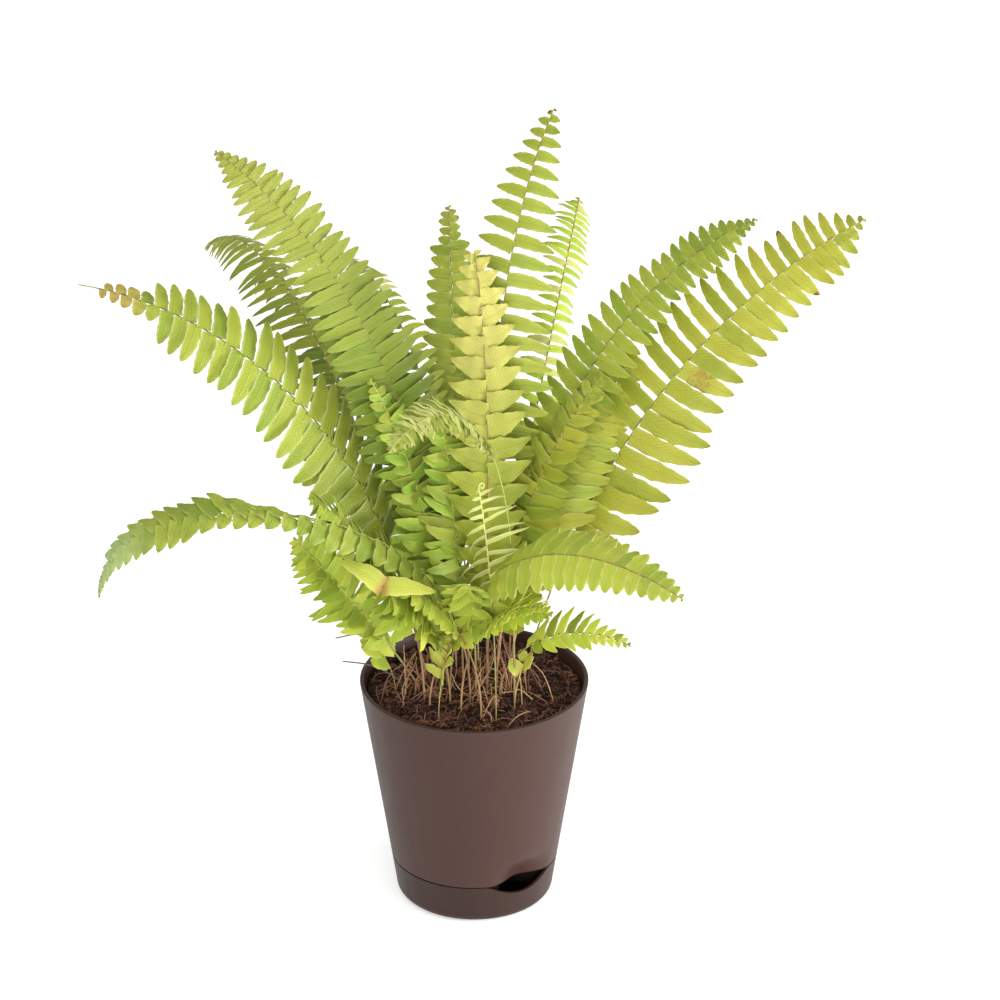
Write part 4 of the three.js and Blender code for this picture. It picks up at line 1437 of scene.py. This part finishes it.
        def place(co: Vector) -> Vector:
            """Takes a point of the slab to the leaflet, with its rows closer together at the end.

            Args:
                co: the point of the slab.

            Returns:
                Its place in the frond's coordinates.
            """
            row, aside = co.x + 0.5, co.y * 2
            out = 1 - (1 - row) ** 1.5
            notch = 1 + self.tooth * (-1) ** round(row * LEAFLET_ROWS)
            half = 0.5 * width * self.width_at(out, aside) * (notch if 0.05 < row < 0.97 else 1)
            curve = look.falcate * length * (out ** 2 - 0.35 * out)
            curve += look.upper * 0.5 * width * (1 - self.taper(out))
            bulge = width * 0.16 * (abs(aside) - aside * aside) * math.sin(math.pi * min(1, out + 0.1))
            wave = look.ruffle * width * math.sin(phase + 11 * out) * abs(aside)
            up = bulge + wave - drop * length * out ** 2 + co.z * thick * (1.3 - out * 0.6)
            return base + axis * (out * length) + wide * (curve + aside * half) + normal * up
        return place

    def odd_leaf(self, leaf: OddLeaf, rng: random.Random) -> Placer:
        """Works out the place of a leaf apart from the pairs.

        Args:
            leaf: the leaf.
            rng: the frond's own random numbers.

        Returns:
            What takes a point of the slab to the leaf.
        """
        axis = Vector(leaf.towards).normalized()
        wide = Vector(leaf.facing).cross(axis).normalized()
        base = self.at(leaf.share)[0] + Vector(leaf.offset)
        return self.bent(base, (axis, wide, axis.cross(wide)), leaf.length, leaf.width, leaf.arch, rng)

    def build(self) -> bpy.types.Object:
        """Builds the frond's leaflets and rachis.

        Returns:
            The piece, which stands for the solid of the same name.
        """
        rng = random.Random(self.seed)
        look = self.look
        bm = bmesh.new()
        pairs = max(2, round(self.blade.pairs * look.more))
        for layer in range(look.layers):
            self.grow_pairs(bm, pairs, layer, rng)
        self.grow_rachis(bm, pairs)
        for leaf in self.odd_leaves:
            OTHER_LEAFLET.stamp(bm, self.odd_leaf(leaf, rng), tone=rng.random(), along=leaf.share)
            foot = self.at(leaf.share)[0]
            end = foot + Vector(leaf.offset)
            stalk = Path(curve_points([foot, foot.lerp(end, 0.5) + Vector((0, -1, 1)), end], 6))
            STALK.stamp(bm, stalk.rod(lambda share: 0.5), along=leaf.share, beat=0.5, tone=0.5)
        other = look.other or LeafTone.GOLD
        finishes = [look.tone.value, look.stem.value, other.value]
        return finished(f"{self.name}_leaves", bm, finishes, [self.name])

    def grow_pairs(self, bm: bmesh.types.BMesh, pairs: int, layer: int, rng: random.Random) -> None:
        """Adds one layer of leaflets.

        Args:
            bm: the frond's mesh.
            pairs: how many pairs the layer has.
            layer: 0 for the frond's own layer, and more for shorter ones that lie across it.
            rng: the frond's own random numbers.
        """
        look, blade = self.look, self.blade
        for i in range(pairs):
            for side in (1, -1):
                shift = 0.5 + side * self.stagger + self.layer_stagger * layer
                x = 1 - max(0.0, 1 - (i + shift) / pairs) ** self.tip_crowding
                if x > 1 - look.bare_tip - 0.04 * layer or rng.random() < look.gap_odds:
                    continue
                step = ((1 - i / pairs) ** self.tip_crowding
                        - (1 - (i + 1) / pairs) ** self.tip_crowding) * blade.length * (1 - blade.bare)
                share = lerp(blade.bare, 1, x)
                if layer and share > look.layer_to:
                    continue
                point, along, across, face = self.at(share)
                length = blade.half * self.leaflet_share(x) * look.long
                raised = swept = 0.0
                if x > look.small_from:
                    length *= look.small_share
                if layer:
                    length *= rng.uniform(*self.layer_lengths)
                    raised = (-1) ** layer * rng.uniform(*self.layer_lifts)
                for stretch in look.stretches:
                    part = stretch.part(share, side)
                    length *= lerp(1, stretch.length, part)
                    raised += stretch.lift * part
                    swept += stretch.swept * part
                width = min(step * look.fill * look.sides[side < 0], length * 0.85)
                base = point - face * (0.1 + 0.35 * layer + 0.4 * look.sunk) + across * side * 0.1
                place = self.leaflet(base, (along, across, face), side, length, width, raised, swept, rng)
                form = OTHER_LEAFLET if rng.random() < look.other_odds else LEAFLET
                form.stamp(bm, place, tone=rng.random(), along=share, blemish=self.spot(i, side))

    def spot(self, pair: int, side: int) -> Layer:
        """Works out how burnt one leaflet is, which fades on both sides of a place along it.

        Args:
            pair: the leaflet's pair, counted from the lowest one.
            side: 1 or -1, on which side of the rachis it grows.

        Returns:
            The value at each point of the leaflet, or 0 for a sound one.
        """
        if (pair, side) not in self.blemishes:
            return 0.0
        where, strength = self.blemishes[pair, side]
        return lambda co: strength * math.exp(-((co.x + 0.5 - where) / self.spot_length) ** 2)

    def crozier(self) -> list[Vector]:
        """Rolls up the frond's tip.

        Returns:
            The points of the roll, or none where the frond has opened.
        """
        if not self.look.curl:
            return []
        along, across, _ = self.frames[-1]
        point, points = self.points[-1], []
        for i in range(1, 15):
            turn = math.radians(self.crozier_step * i)
            radius = self.look.curl * (1 - i / 17)
            ahead = along * math.cos(turn) + across * math.sin(turn)
            point = point + ahead * radius * math.radians(self.crozier_step)
            points.append(point)
        return points

    def grow_rachis(self, bm: bmesh.types.BMesh, pairs: int) -> None:
        """Adds the rachis, from the buried end of its petiole to its tip.

        Args:
            bm: the frond's mesh.
            pairs: how many pairs of leaflets it carries.
        """
        blade, look = self.blade, self.look
        foot = [Vector((*self.stand.root, height)) for height in (self.petiole_bottom, self.start_height - 3)]
        count = RACHIS_STEPS - 1
        shares = [i / (count - 1) for i in range(count)]
        points = [*foot, *[self.at(share)[0] for share in shares], *self.crozier()]
        line = Path(points, self.frames[0][1])
        buried = 2 / (len(points) - 1)

        def along(co: Vector) -> float:
            """Returns the share of the rachis above the soil."""
            return max(0.0, (co.x + 0.5 - buried) / (1 - buried))

        def beat(co: Vector) -> float:
            """Tells where leaflets join the rachis.

            Args:
                co: a point of the rod.

            Returns:
                1 at a pair's joint and 0 halfway between two pairs.
            """
            x = (along(co) - blade.bare) / (1 - blade.bare)
            if x <= 0 or x >= 1:
                return 0.0
            turn = (1 - (1 - x) ** (1 / self.tip_crowding)) * pairs
            return 0.5 + 0.5 * math.cos(math.tau * turn)

        place = line.rod(lambda share: look.thick_stem * lerp(*self.stem_radii, max(0.0, share - buried) ** 0.8))
        RACHIS.stamp(bm, place, along=along, beat=beat, tone=0.5)


FIRST_SEED = 100
LEAFLET_ROWS = 10
RACHIS_STEPS = 74
LEAFLET = blade_form(LEAFLET_ROWS, 4)
OTHER_LEAFLET = blade_form(LEAFLET_ROWS, 4, 2)
STALK = strand_form(6, 6, 1)
RACHIS = strand_form(RACHIS_STEPS, 6, 1)

# Short names for the fronds below, and looks that two of them share.
T, S = LeafTone, StemTone
DENSE = Look(T.DEEP_LIT, S.GREEN, 0.15, 0.9, 0.16, 2.7, layers=2, wild=14, other=T.LIME, other_odds=0.4, long=0.9)
PLAIN = Look(T.FRESH_LIT, S.GREEN, 0.25, 0.85, 0.12, 1.9)
BROAD = Look(T.LIT_LIME, S.TAN, 0.1, 1.15, 0.12, 1.9, wild=4, long=0.95, other=T.FRESH_LIT, other_odds=0.3,
             stretches=(Stretch(-0.1, 1.2, 1, 0.7),))
FRONDS = [
    Frond("front_mid_frond", Stand((7, -8), 76, 88, 58, 1.6, 30), Blade(245, 0.17, 25, 19, 8, blunt=0.45),
          Look(T.YELLOW, S.OLIVE, 0.8, 1.16, 0.04, 0.92, upper=0.5, thick_stem=1.5, ruffle=0.07, long=1.02,
               sunk=1.0, ear=0.0, stretches=(Stretch(0.0, 0.4, 0, 0.8),))),
    Frond("far_left_frond", Stand((-27, 3), 166, 83, 3, 1.3),
          Blade(314, 0.26, 33, 23, 22, 32, -6, lean=(0, -38)),
          Look(T.TAN_TIPPED, S.DARK, 0.0, 0.96, 0.12, 1.12, sides=(0.95, 1.0), bare_tip=0.05,
               small_from=0.81, layers=2, layer_to=0.5)),
    Frond("far_right_frond", Stand((27, 2), 31, 75, 13, 1.1, 1), Blade(330, 0.24, 38, 25, 8, -35, lean=(-4, 0)),
          Look(T.OLIVE, S.DARK, 0.15, 1.0, 0.1, 1.0, sides=(0.93, 0.74), stretches=(
              Stretch(0.86, 0.955, 0, 1.28), Stretch(0.2, 0.5, 1, 1.14), Stretch(0.96, 1.4, 1, 0.7))),
          blemishes={(9, 1): (0.28, 0.8), (18, -1): (0.9, 2.0), (17, 1): (0.92, 2.0)}),
    Frond("right_mid_frond", Stand((20, -6), 37, 87, 11, 1.35, 22), Blade(209, 0.3, 30, 13, 20, -30),
          Look(T.OLIVE, S.TAN, 0.15, 1.05, 0.08, 1.5, other=T.LIME, other_odds=0.3)),
    Frond("tall_left_frond", Stand((-17, 11), 141, 89, 22, 1.4, 6), Blade(331, 0.24, 31, 24, 9, 20),
          Look(T.SHADY, S.TAN, 0.15, 0.98, -0.06, 1.6, layers=2, layer_to=0.7,
               stretches=(Stretch(0.8, 0.96, 0, 1.3),))),
    Frond("right_back_frond", Stand((19, 9), 43, 89, 6, 1.3, -9), Blade(311, 0.28, 25, 22, 13, -20, lean=(-20, 0)),
          Look(T.LIME, S.DARK, 0.2, 0.95, 0.1, 1.4, stretches=(Stretch(0.84, 0.95, 0, 1.3),))),
    Frond("left_drooping_frond", Stand((-2, -21), 233, 89, -32, 0.96, -66, -62),
          Blade(314, 0.24, 27, 20, 20, 10, -22), Look(
              T.FROSTED, S.DARK, 0.35, 1.1, 0.1, 1.45, stretches=(
                  Stretch(0.1, 0.54, -1, 0.72), Stretch(0.54, 0.74, -1, 0.45),
                  Stretch(0.6, 0.93, 1, 0.92, 40, 16), Stretch(0.4, 0.66, 1, 0.66, 0, 24),
                  Stretch(0.74, 1.1, -1, 0.9))),
          odd_leaves=(
              OddLeaf(0.4, (-1.7, -15, -16), (-0.62, -0.2, 0.8), (0.3, -0.8, 0.6), 24, 11, 0.5),
              OddLeaf(0.4, (-1.7, -15, -16), (0.95, -0.2, 0.35), (-0.1, -0.6, 0.75), 20, 11, 1.2))),
    Frond("right_low_frond", Stand((-13, -8), -54, 89, -20, 0.98, 20), Blade(231, 0.3, 24, 18, 8, -35, -8),
          Look(T.RIBBED, S.TAN, 0.1, 1.15, 0.04, 1.1, twist=-8)),
    Frond("tallest_frond", Stand((7, 13), 81, 89, 35, 2, -17), Blade(323, 0.25, 28, 20, 15, -5, lean=(-14, 0)),
          Look(T.LIME, S.TAN, 0.28, 0.7, -0.22, 1.15, long=1.12, arch=0.22),
          blemishes={(22, 1): (0.5, 9.0), (22, -1): (0.5, 9.0)}),
    Frond("slim_back_frond", Stand((-3, 15), 100, 79, 24, 1.4, -9), Blade(269, 0.35, 20, 15, 12),
          Look(T.TANNED, S.TAN, 0.12, 0.98, 0.08, 1.5, small_from=0.84,
               stretches=(Stretch(0.89, 1.4, 0, 1.35), Stretch(0.95, 1.4, 0, 1.6)))),
    Frond("narrow_right_frond", Stand((13, 19), 70, 76, 10, 0.9, 13), Blade(302, 0.3, 15, 17, 12, -30),
          Look(T.FRESH_LIT, S.TAN, 0.3, 0.6, -0.2, 1.9, arch=0.3, other=T.PALE, other_odds=0.3, wild=4,
               stretches=(Stretch(0.8, 1.4, 0, 1.6), Stretch(0.93, 0.975, 0, 1.6)))),
    Frond("hooked_frond", Stand((-10, 20), 122, 86, -27, 2.5, -2), Blade(277, 0.42, 24, 13, 20, 10, -20),
          Look(T.LIME, S.TAN, 0.3, 0.62, -0.2, 2.2, arch=0.3, other=T.PALE, other_odds=0.2)),
    Frond("behind_left_frond", Stand((-27, 15), 133, 67, -44, 2.6, -15), Blade(329, 0.4, 28, 16, 15, 10, -10),
          Look(T.LIME, S.TAN, 0.3, 0.62, -0.2, 1.9, arch=0.3, layers=2, layer_to=0.78, other=T.SHADY,
               other_odds=0.4)),
    Frond("right_lowest_frond", Stand((14, -13), -12, 89, -26, 0.85), Blade(95, 0.36, 19, 9, 20, -30),
          Look(T.LIT_LIME, S.TAN, 0.35, 0.95, 0.14, 1.35, other=T.LIME, other_odds=0.3, wild=5, stretches=(
              Stretch(-0.1, 1.4, 1, 0.76), Stretch(0.74, 1.4, 0, 0.66)))),
    Frond("left_low_frond", Stand((-30, -6), 175, 58, 45, 1.2), Blade(110, 0.28, 30, 9, 15, 30),
          Look(T.FRESH_LIT, S.GREEN, 0.25, 0.95, 0.1, 1.7, layers=3, wild=7, other=T.LIT_LIME, other_odds=0.35,
               stretches=(Stretch(-0.1, 0.5, 0, 0.72),))),
    Frond("front_left_frond", Stand((-13, -19), 212, 88, 34, 1), Blade(112, 0.3, 30, 9, 12, 12, -12),
          Look(T.FRESH_LIT, S.GREEN, 0.1, 1.1, 0.12, 1.8, layers=2, wild=6, long=1.12, other=T.LIT_LIME, other_odds=0.4,
               stretches=(Stretch(-0.1, 0.5, 0, 0.66, 12),))),
    Frond("front_low_frond", Stand((-24, -24), -22, 88, -2, 1, 4), Blade(106, 0.38, 23, 8, 12, -20), BROAD),
    Frond("front_centre_frond", Stand((1, -14), 262, 89, 32, 1.4), Blade(100, 0.42, 24, 7, 10, 0, -8),
          Look(T.FRESH_LIT, S.GREEN, 0.1, 1.1, 0.12, 1.9, layers=2, wild=6, long=0.95, other=T.LIT_LIME, other_odds=0.4)),
    Frond("left_mid_frond", Stand((-27, -17), 200, 88, 35, 1.2), Blade(150, 0.34, 32, 11, 14, 20, -10),
          Look(T.LIME, S.TAN, 0.25, 0.95, 0.12, 1.8, layers=2, wild=8, other=T.FRESH_LIT, other_odds=0.4),
          odd_leaves=(
              OddLeaf(0.33, (-2, -1, 0), (-0.9, -0.15, -0.15), (-0.2, -0.6, 0.75), 20, 9, 0.25),
              OddLeaf(0.29, (-2, -1, 1), (-0.8, -0.2, -0.4), (-0.3, -0.7, 0.6), 14, 8, 0.2))),
    Frond("low_centre_frond", Stand((-7, -29), -40, 89, 14, 1.15), Blade(106, 0.46, 24, 7, 10, -10, -4), BROAD),
    Frond("low_front_frond", Stand((4, -38), 190, 89, 18, 1.2), Blade(116, 0.46, 24, 8, 10, 10, -4),
          Look(T.LIT_LIME, S.TAN, 0.1, 1.15, 0.12, 1.9, wild=4, long=0.95,
               stretches=(Stretch(-0.1, 1.2, -1, 0.7),), other=T.FRESH_LIT, other_odds=0.4)),
    Frond("front_curl_frond", Stand((22, -21), 236, 89, -35, 3, -4), Blade(264, 0.6, 22, 14, 16, 22),
          Look(T.PALE, S.GREEN, 0.4, 0.8, 0.2, 1.9, ruffle=0.12, long=0.85, layers=2, wild=5, other=T.LIME,
               other_odds=0.25)),
    Frond("young_sprout_frond", Stand((12, -41), 130, 89, 76, 1.5), Blade(134, 0.58, 21, 7, 10, 0, 8),
          Look(T.CREAM, S.PALE, 0.5, 0.5, 0.16, 1.5, twist=30, arch=-0.3, curl=2.3, thick_stem=0.8, wild=4,
               long=1.25)),
    Frond("inner_left_frond", Stand((-15, 0), 150, 88, 56, 1.4), Blade(180, 0.14, 27, 8, 15, 20), DENSE),
    Frond("inner_front_frond", Stand((-6, -3), 120, 88, 70, 1.4), Blade(165, 0.14, 27, 8, 12), DENSE),
    Frond("inner_right_frond", Stand((12, -1), 20, 87, 48, 1.4), Blade(190, 0.15, 27, 9, 12, -20),
          Look(T.OLIVE, S.TAN, 0.15, 0.9, 0.12, 2.2, layers=2, wild=7, other=T.LIME, other_odds=0.4)),
    Frond("inner_back_frond", Stand((2, 25), 94, 80, 8, 1.2), Blade(215, 0.3, 28, 9, 12),
          Look(T.DEEP_LIT, S.GREEN, 0.3, 0.9, 0.12, 2.0, layers=2, wild=10, other=T.FRESH_LIT, other_odds=0.4)),
    Frond("back_left_frond", Stand((-18, 26), 114, 68, -20, 1), Blade(155, 0.26, 26, 8, 12, 0, -10), PLAIN),
    Frond("back_right_frond", Stand((20, 27), 60, 68, -20, 1), Blade(160, 0.26, 26, 8, 12, 0, -10), PLAIN),
    Frond("left_sprig", Stand((-43, -6), 150, 82, 30, 1), Blade(32, 0.4, 9, 2, 25, 30, 10),
          Look(T.LIT_LIME, S.GREEN, 0.1, 1.5, 0.1, 1.5, thick_stem=0.6, long=1.6, wild=12,
               stretches=(Stretch(-1, 2, 0, 1.0, 20),))),
    Frond("middle_sprig", Stand((-19, -37), 20, 89, 70, 1), Blade(44, 0.5, 13, 3, 12, 0, 4),
          Look(T.GOLD, S.GREEN, 0.1, 1.4, 0.1, 1.7, thick_stem=0.6, long=1.35, wild=12,
               stretches=(Stretch(-1, 2, 0, 1.0, 28),))),
    Frond("right_sprig", Stand((22, -28), 60, 86, 30, 1), Blade(30, 0.55, 8, 2, 25, 0, 10),
          Look(T.GOLD, S.GREEN, 0.1, 1.6, 0.1, 1.0, thick_stem=0.6, long=1.3, wild=10,
               stretches=(Stretch(-1, 2, 0, 1.0, 20),))),
]


# The crown


@dataclass
class CrownStalks:
    """A clump of dry stalks in fans, each of which spreads down from one point to the soil."""

    name: str
    centre: tuple[float, float]
    fans: tuple[tuple[float, float, float], ...]
    spread: float = 20
    count: int = 8
    lying: int = 18
    thickness: tuple[float, float] = (0.16, 0.4)
    lying_lengths: tuple[float, float] = (10, 24)
    lying_thickness: tuple[float, float] = (0.17, 0.38)
    lump_height: float = 126
    lump_size: tuple[float, float, float] = (9.2, 8.4, 11)
    seed: int = 5
    soil: Soil = field(default_factory=Soil)

    def stalk(self, top: Vector, rng: random.Random) -> tuple[Placer, float]:
        """Stands one stalk on the soil under a fan's top.

        Args:
            top: the fan's top.
            rng: the clump's own random numbers.

        Returns:
            What takes a point of a rod to the stalk, and the stalk's tone.
        """
        angle = rng.uniform(0, math.tau)
        out = self.spread * rng.uniform(0.25, 1.15)
        foot_x, foot_y = top.x + out * math.cos(angle), top.y - 1 + out * math.sin(angle) * 0.6
        edge = self.soil.reach() - 3
        far = math.hypot(foot_x, foot_y)
        if far > edge:
            foot_x, foot_y = foot_x * edge / far, foot_y * edge / far
        foot = Vector((foot_x, foot_y, self.soil.height(foot_x, foot_y) - 1.0))
        tip = top + Vector((rng.gauss(0, 3.6), rng.gauss(0, 3), rng.uniform(-5, 4)))
        head = foot.lerp(tip, rng.uniform(0.45, 1.04))
        bow = Vector((rng.uniform(-4, 4), rng.uniform(-4, 4), rng.uniform(-1.5, 2.5)))
        middle = foot.lerp(head, rng.uniform(0.35, 0.65)) + bow
        path = Path(curve_points([foot, middle, head], 9))
        thick = rng.uniform(*self.thickness)
        return path.rod(lambda share: thick * lerp(1.1, 0.6, share)), rng.random()

    def fallen(self, rng: random.Random) -> tuple[Placer, float]:
        """Lays one stalk on the soil.

        Args:
            rng: the clump's own random numbers.

        Returns:
            What takes a point of a rod to the stalk, and the stalk's tone.
        """
        angle, length = rng.uniform(0, math.tau), rng.uniform(*self.lying_lengths)
        x = self.centre[0] + rng.gauss(0, 11)
        y = self.centre[1] + rng.gauss(3, 9)
        points = []
        for share in (0, 0.33, 0.67, 1):
            px = x + math.cos(angle) * length * (share - 0.5) + rng.uniform(-1, 1)
            py = y + math.sin(angle) * length * (share - 0.5) + rng.uniform(-1, 1)
            shrink = min(1.0, (self.soil.reach() - 2.5) / max(1.0, math.hypot(px, py)))
            px, py = px * shrink, py * shrink
            hump = rng.uniform(1.4, 2.9) + 3 * math.sin(math.pi * share)
            points.append((px, py, self.soil.height(px, py) + hump))
        path = Path(curve_points(points, 9))
        thick = rng.uniform(*self.lying_thickness)
        return path.rod(lambda share: thick), rng.random()

    def build(self) -> bpy.types.Object:
        """Builds the clump with the rhizome that it grows from.

        Returns:
            The piece, which stands for the solid of the same name.
        """
        rng = random.Random(self.seed)
        bm = bmesh.new()
        form = strand_form(9, 5)
        for fan in self.fans:
            for _ in range(self.count):
                place, tone = self.stalk(Vector(fan), rng)
                form.stamp(bm, place, tone=tone)
        for _ in range(self.lying):
            place, tone = self.fallen(rng)
            form.stamp(bm, place, tone=tone)
        lump = crumb_form()
        centre = Vector((*self.centre, self.lump_height))
        lump.stamp(bm, lambda co: centre + Vector([a * b for a, b in zip(co, self.lump_size)]), tone=0.1)
        return finished(f"{self.name}_straw", bm, [STRAW], [self.name])


@dataclass
class Runner:
    """A thin wiry runner that reaches out over the rim."""

    name: str
    corners: tuple[tuple[float, float, float], ...]
    radius: float = 0.55
    steps: int = 24

    def build(self) -> bpy.types.Object:
        """Builds the runner along its corners.

        Returns:
            The piece, which stands for the solid of the same name.
        """
        bm = bmesh.new()
        path = Path(curve_points(self.corners, self.steps))
        form = strand_form(self.steps, 8)
        form.stamp(bm, path.rod(lambda share: self.radius * lerp(1.1, 0.7, share)), tone=0.5)
        return finished(f"{self.name}_wire", bm, [WIRY], [self.name])


CLUMPS = (
    CrownStalks("left_crown_stalks", (-24, -12),
                ((-37.8, -10, 149), (-30.7, -12, 157), (-23, -10, 155), (-14, -4, 152)), seed=5),
    CrownStalks("right_crown_stalks", (10, -22),
                ((3.2, -14, 154), (10, -10, 160), (14.1, -12, 165), (25, -12, 158)), seed=6),
)
RUNNERS = (
    Runner("upper_runner", ((-37, 9, 114), (-37, 9, 130), (-46, 13, 141), (-62, 18, 147), (-76, 20, 144))),
    Runner("lower_runner", ((-40, -1, 114), (-40, -1, 127), (-48, 3, 132), (-58, 6, 135), (-72, 8, 136))),
)


# The studio


@dataclass(frozen=True)
class Softbox:
    """A square softbox: where it hangs and aims in metres, its side's length and its power in watts."""

    name: str
    place: tuple[float, float, float]
    aim: tuple[float, float, float]
    size: float
    power: float

    def hang(self) -> None:
        """Hangs the softbox in the scene."""
        lamp = bpy.data.lights.new(self.name, "AREA")
        lamp.shape, lamp.size, lamp.energy = "SQUARE", self.size, self.power
        held = bpy.data.objects.new(self.name, lamp)
        held.location = self.place
        away = Vector(self.aim) - Vector(self.place)
        held.rotation_euler = away.to_track_quat("-Z", "Y").to_euler()
        bpy.context.scene.collection.objects.link(held)


@dataclass
class Studio:
    """The pale floor, the soft light and the camera."""

    softboxes: tuple[Softbox, ...] = (
        Softbox("key_softbox", (0.5, -1.6, 2.2), (0, 0, 0.2), 2.0, 18),
        Softbox("side_softbox", (1.8, -0.3, 0.2), (0, 0, 0.08), 0.8, 66),
        Softbox("front_softbox", (-0.2, -2.2, 0.6), (0, 0, 0.2), 1.4, 44),
    )
    floor_size: float = 6.0
    camera_at: tuple[float, float, float] = (14.083, -2673.10, 1565.29)
    camera_tilt: float = 63.6
    focal_length: float = 200.0
    sensor_width: float = 36
    sky: float = 0.85

    def floor(self) -> None:
        """Lays the floor, which fills the picture."""
        bm = bmesh.new()
        bmesh.ops.create_grid(bm, x_segments=4, y_segments=4, size=self.floor_size)
        mesh = bpy.data.meshes.new("studio_floor")
        bm.to_mesh(mesh)
        bm.free()
        mesh.materials.append(skin(FloorFinish("studio_floor_paint")))
        floor = bpy.data.objects.new("studio_floor", mesh)
        bpy.context.scene.collection.objects.link(floor)

    def build(self) -> None:
        """Builds the studio and sets the scene's camera."""
        scene = bpy.context.scene
        world = bpy.data.worlds.new("studio")
        world.use_nodes = True
        sky = world.node_tree.nodes["Background"]
        sky.inputs["Color"].default_value = (1, 1, 1, 1)
        sky.inputs["Strength"].default_value = self.sky
        scene.world = world
        for softbox in self.softboxes:
            softbox.hang()
        self.floor()
        lens = bpy.data.cameras.new("camera")
        lens.lens, lens.sensor_width = self.focal_length, self.sensor_width
        lens.clip_start, lens.clip_end = 0.1, 30
        camera = bpy.data.objects.new("camera", lens)
        camera.location = Vector(self.camera_at) * MM
        camera.rotation_euler = (math.radians(self.camera_tilt), 0, 0)
        scene.collection.objects.link(camera)
        scene.camera = camera
        scene.view_settings.view_transform = "Standard"


def main() -> None:
    """Builds the studio, the pot, the soil and the plant."""
    Studio().build()
    Pot().build()
    Soil().build()
    for seed, frond in enumerate(FRONDS, FIRST_SEED):
        frond.seed = seed
        frond.build()
    for plant_part in (*CLUMPS, *RUNNERS):
        plant_part.build()
    log.info("the plant has %d fronds, %d clumps of stalks and %d runners", len(FRONDS), len(CLUMPS), len(RUNNERS))
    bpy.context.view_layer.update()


if __name__ == "__main__":
    logging.basicConfig(level=logging.INFO, format="%(message)s")
    main()
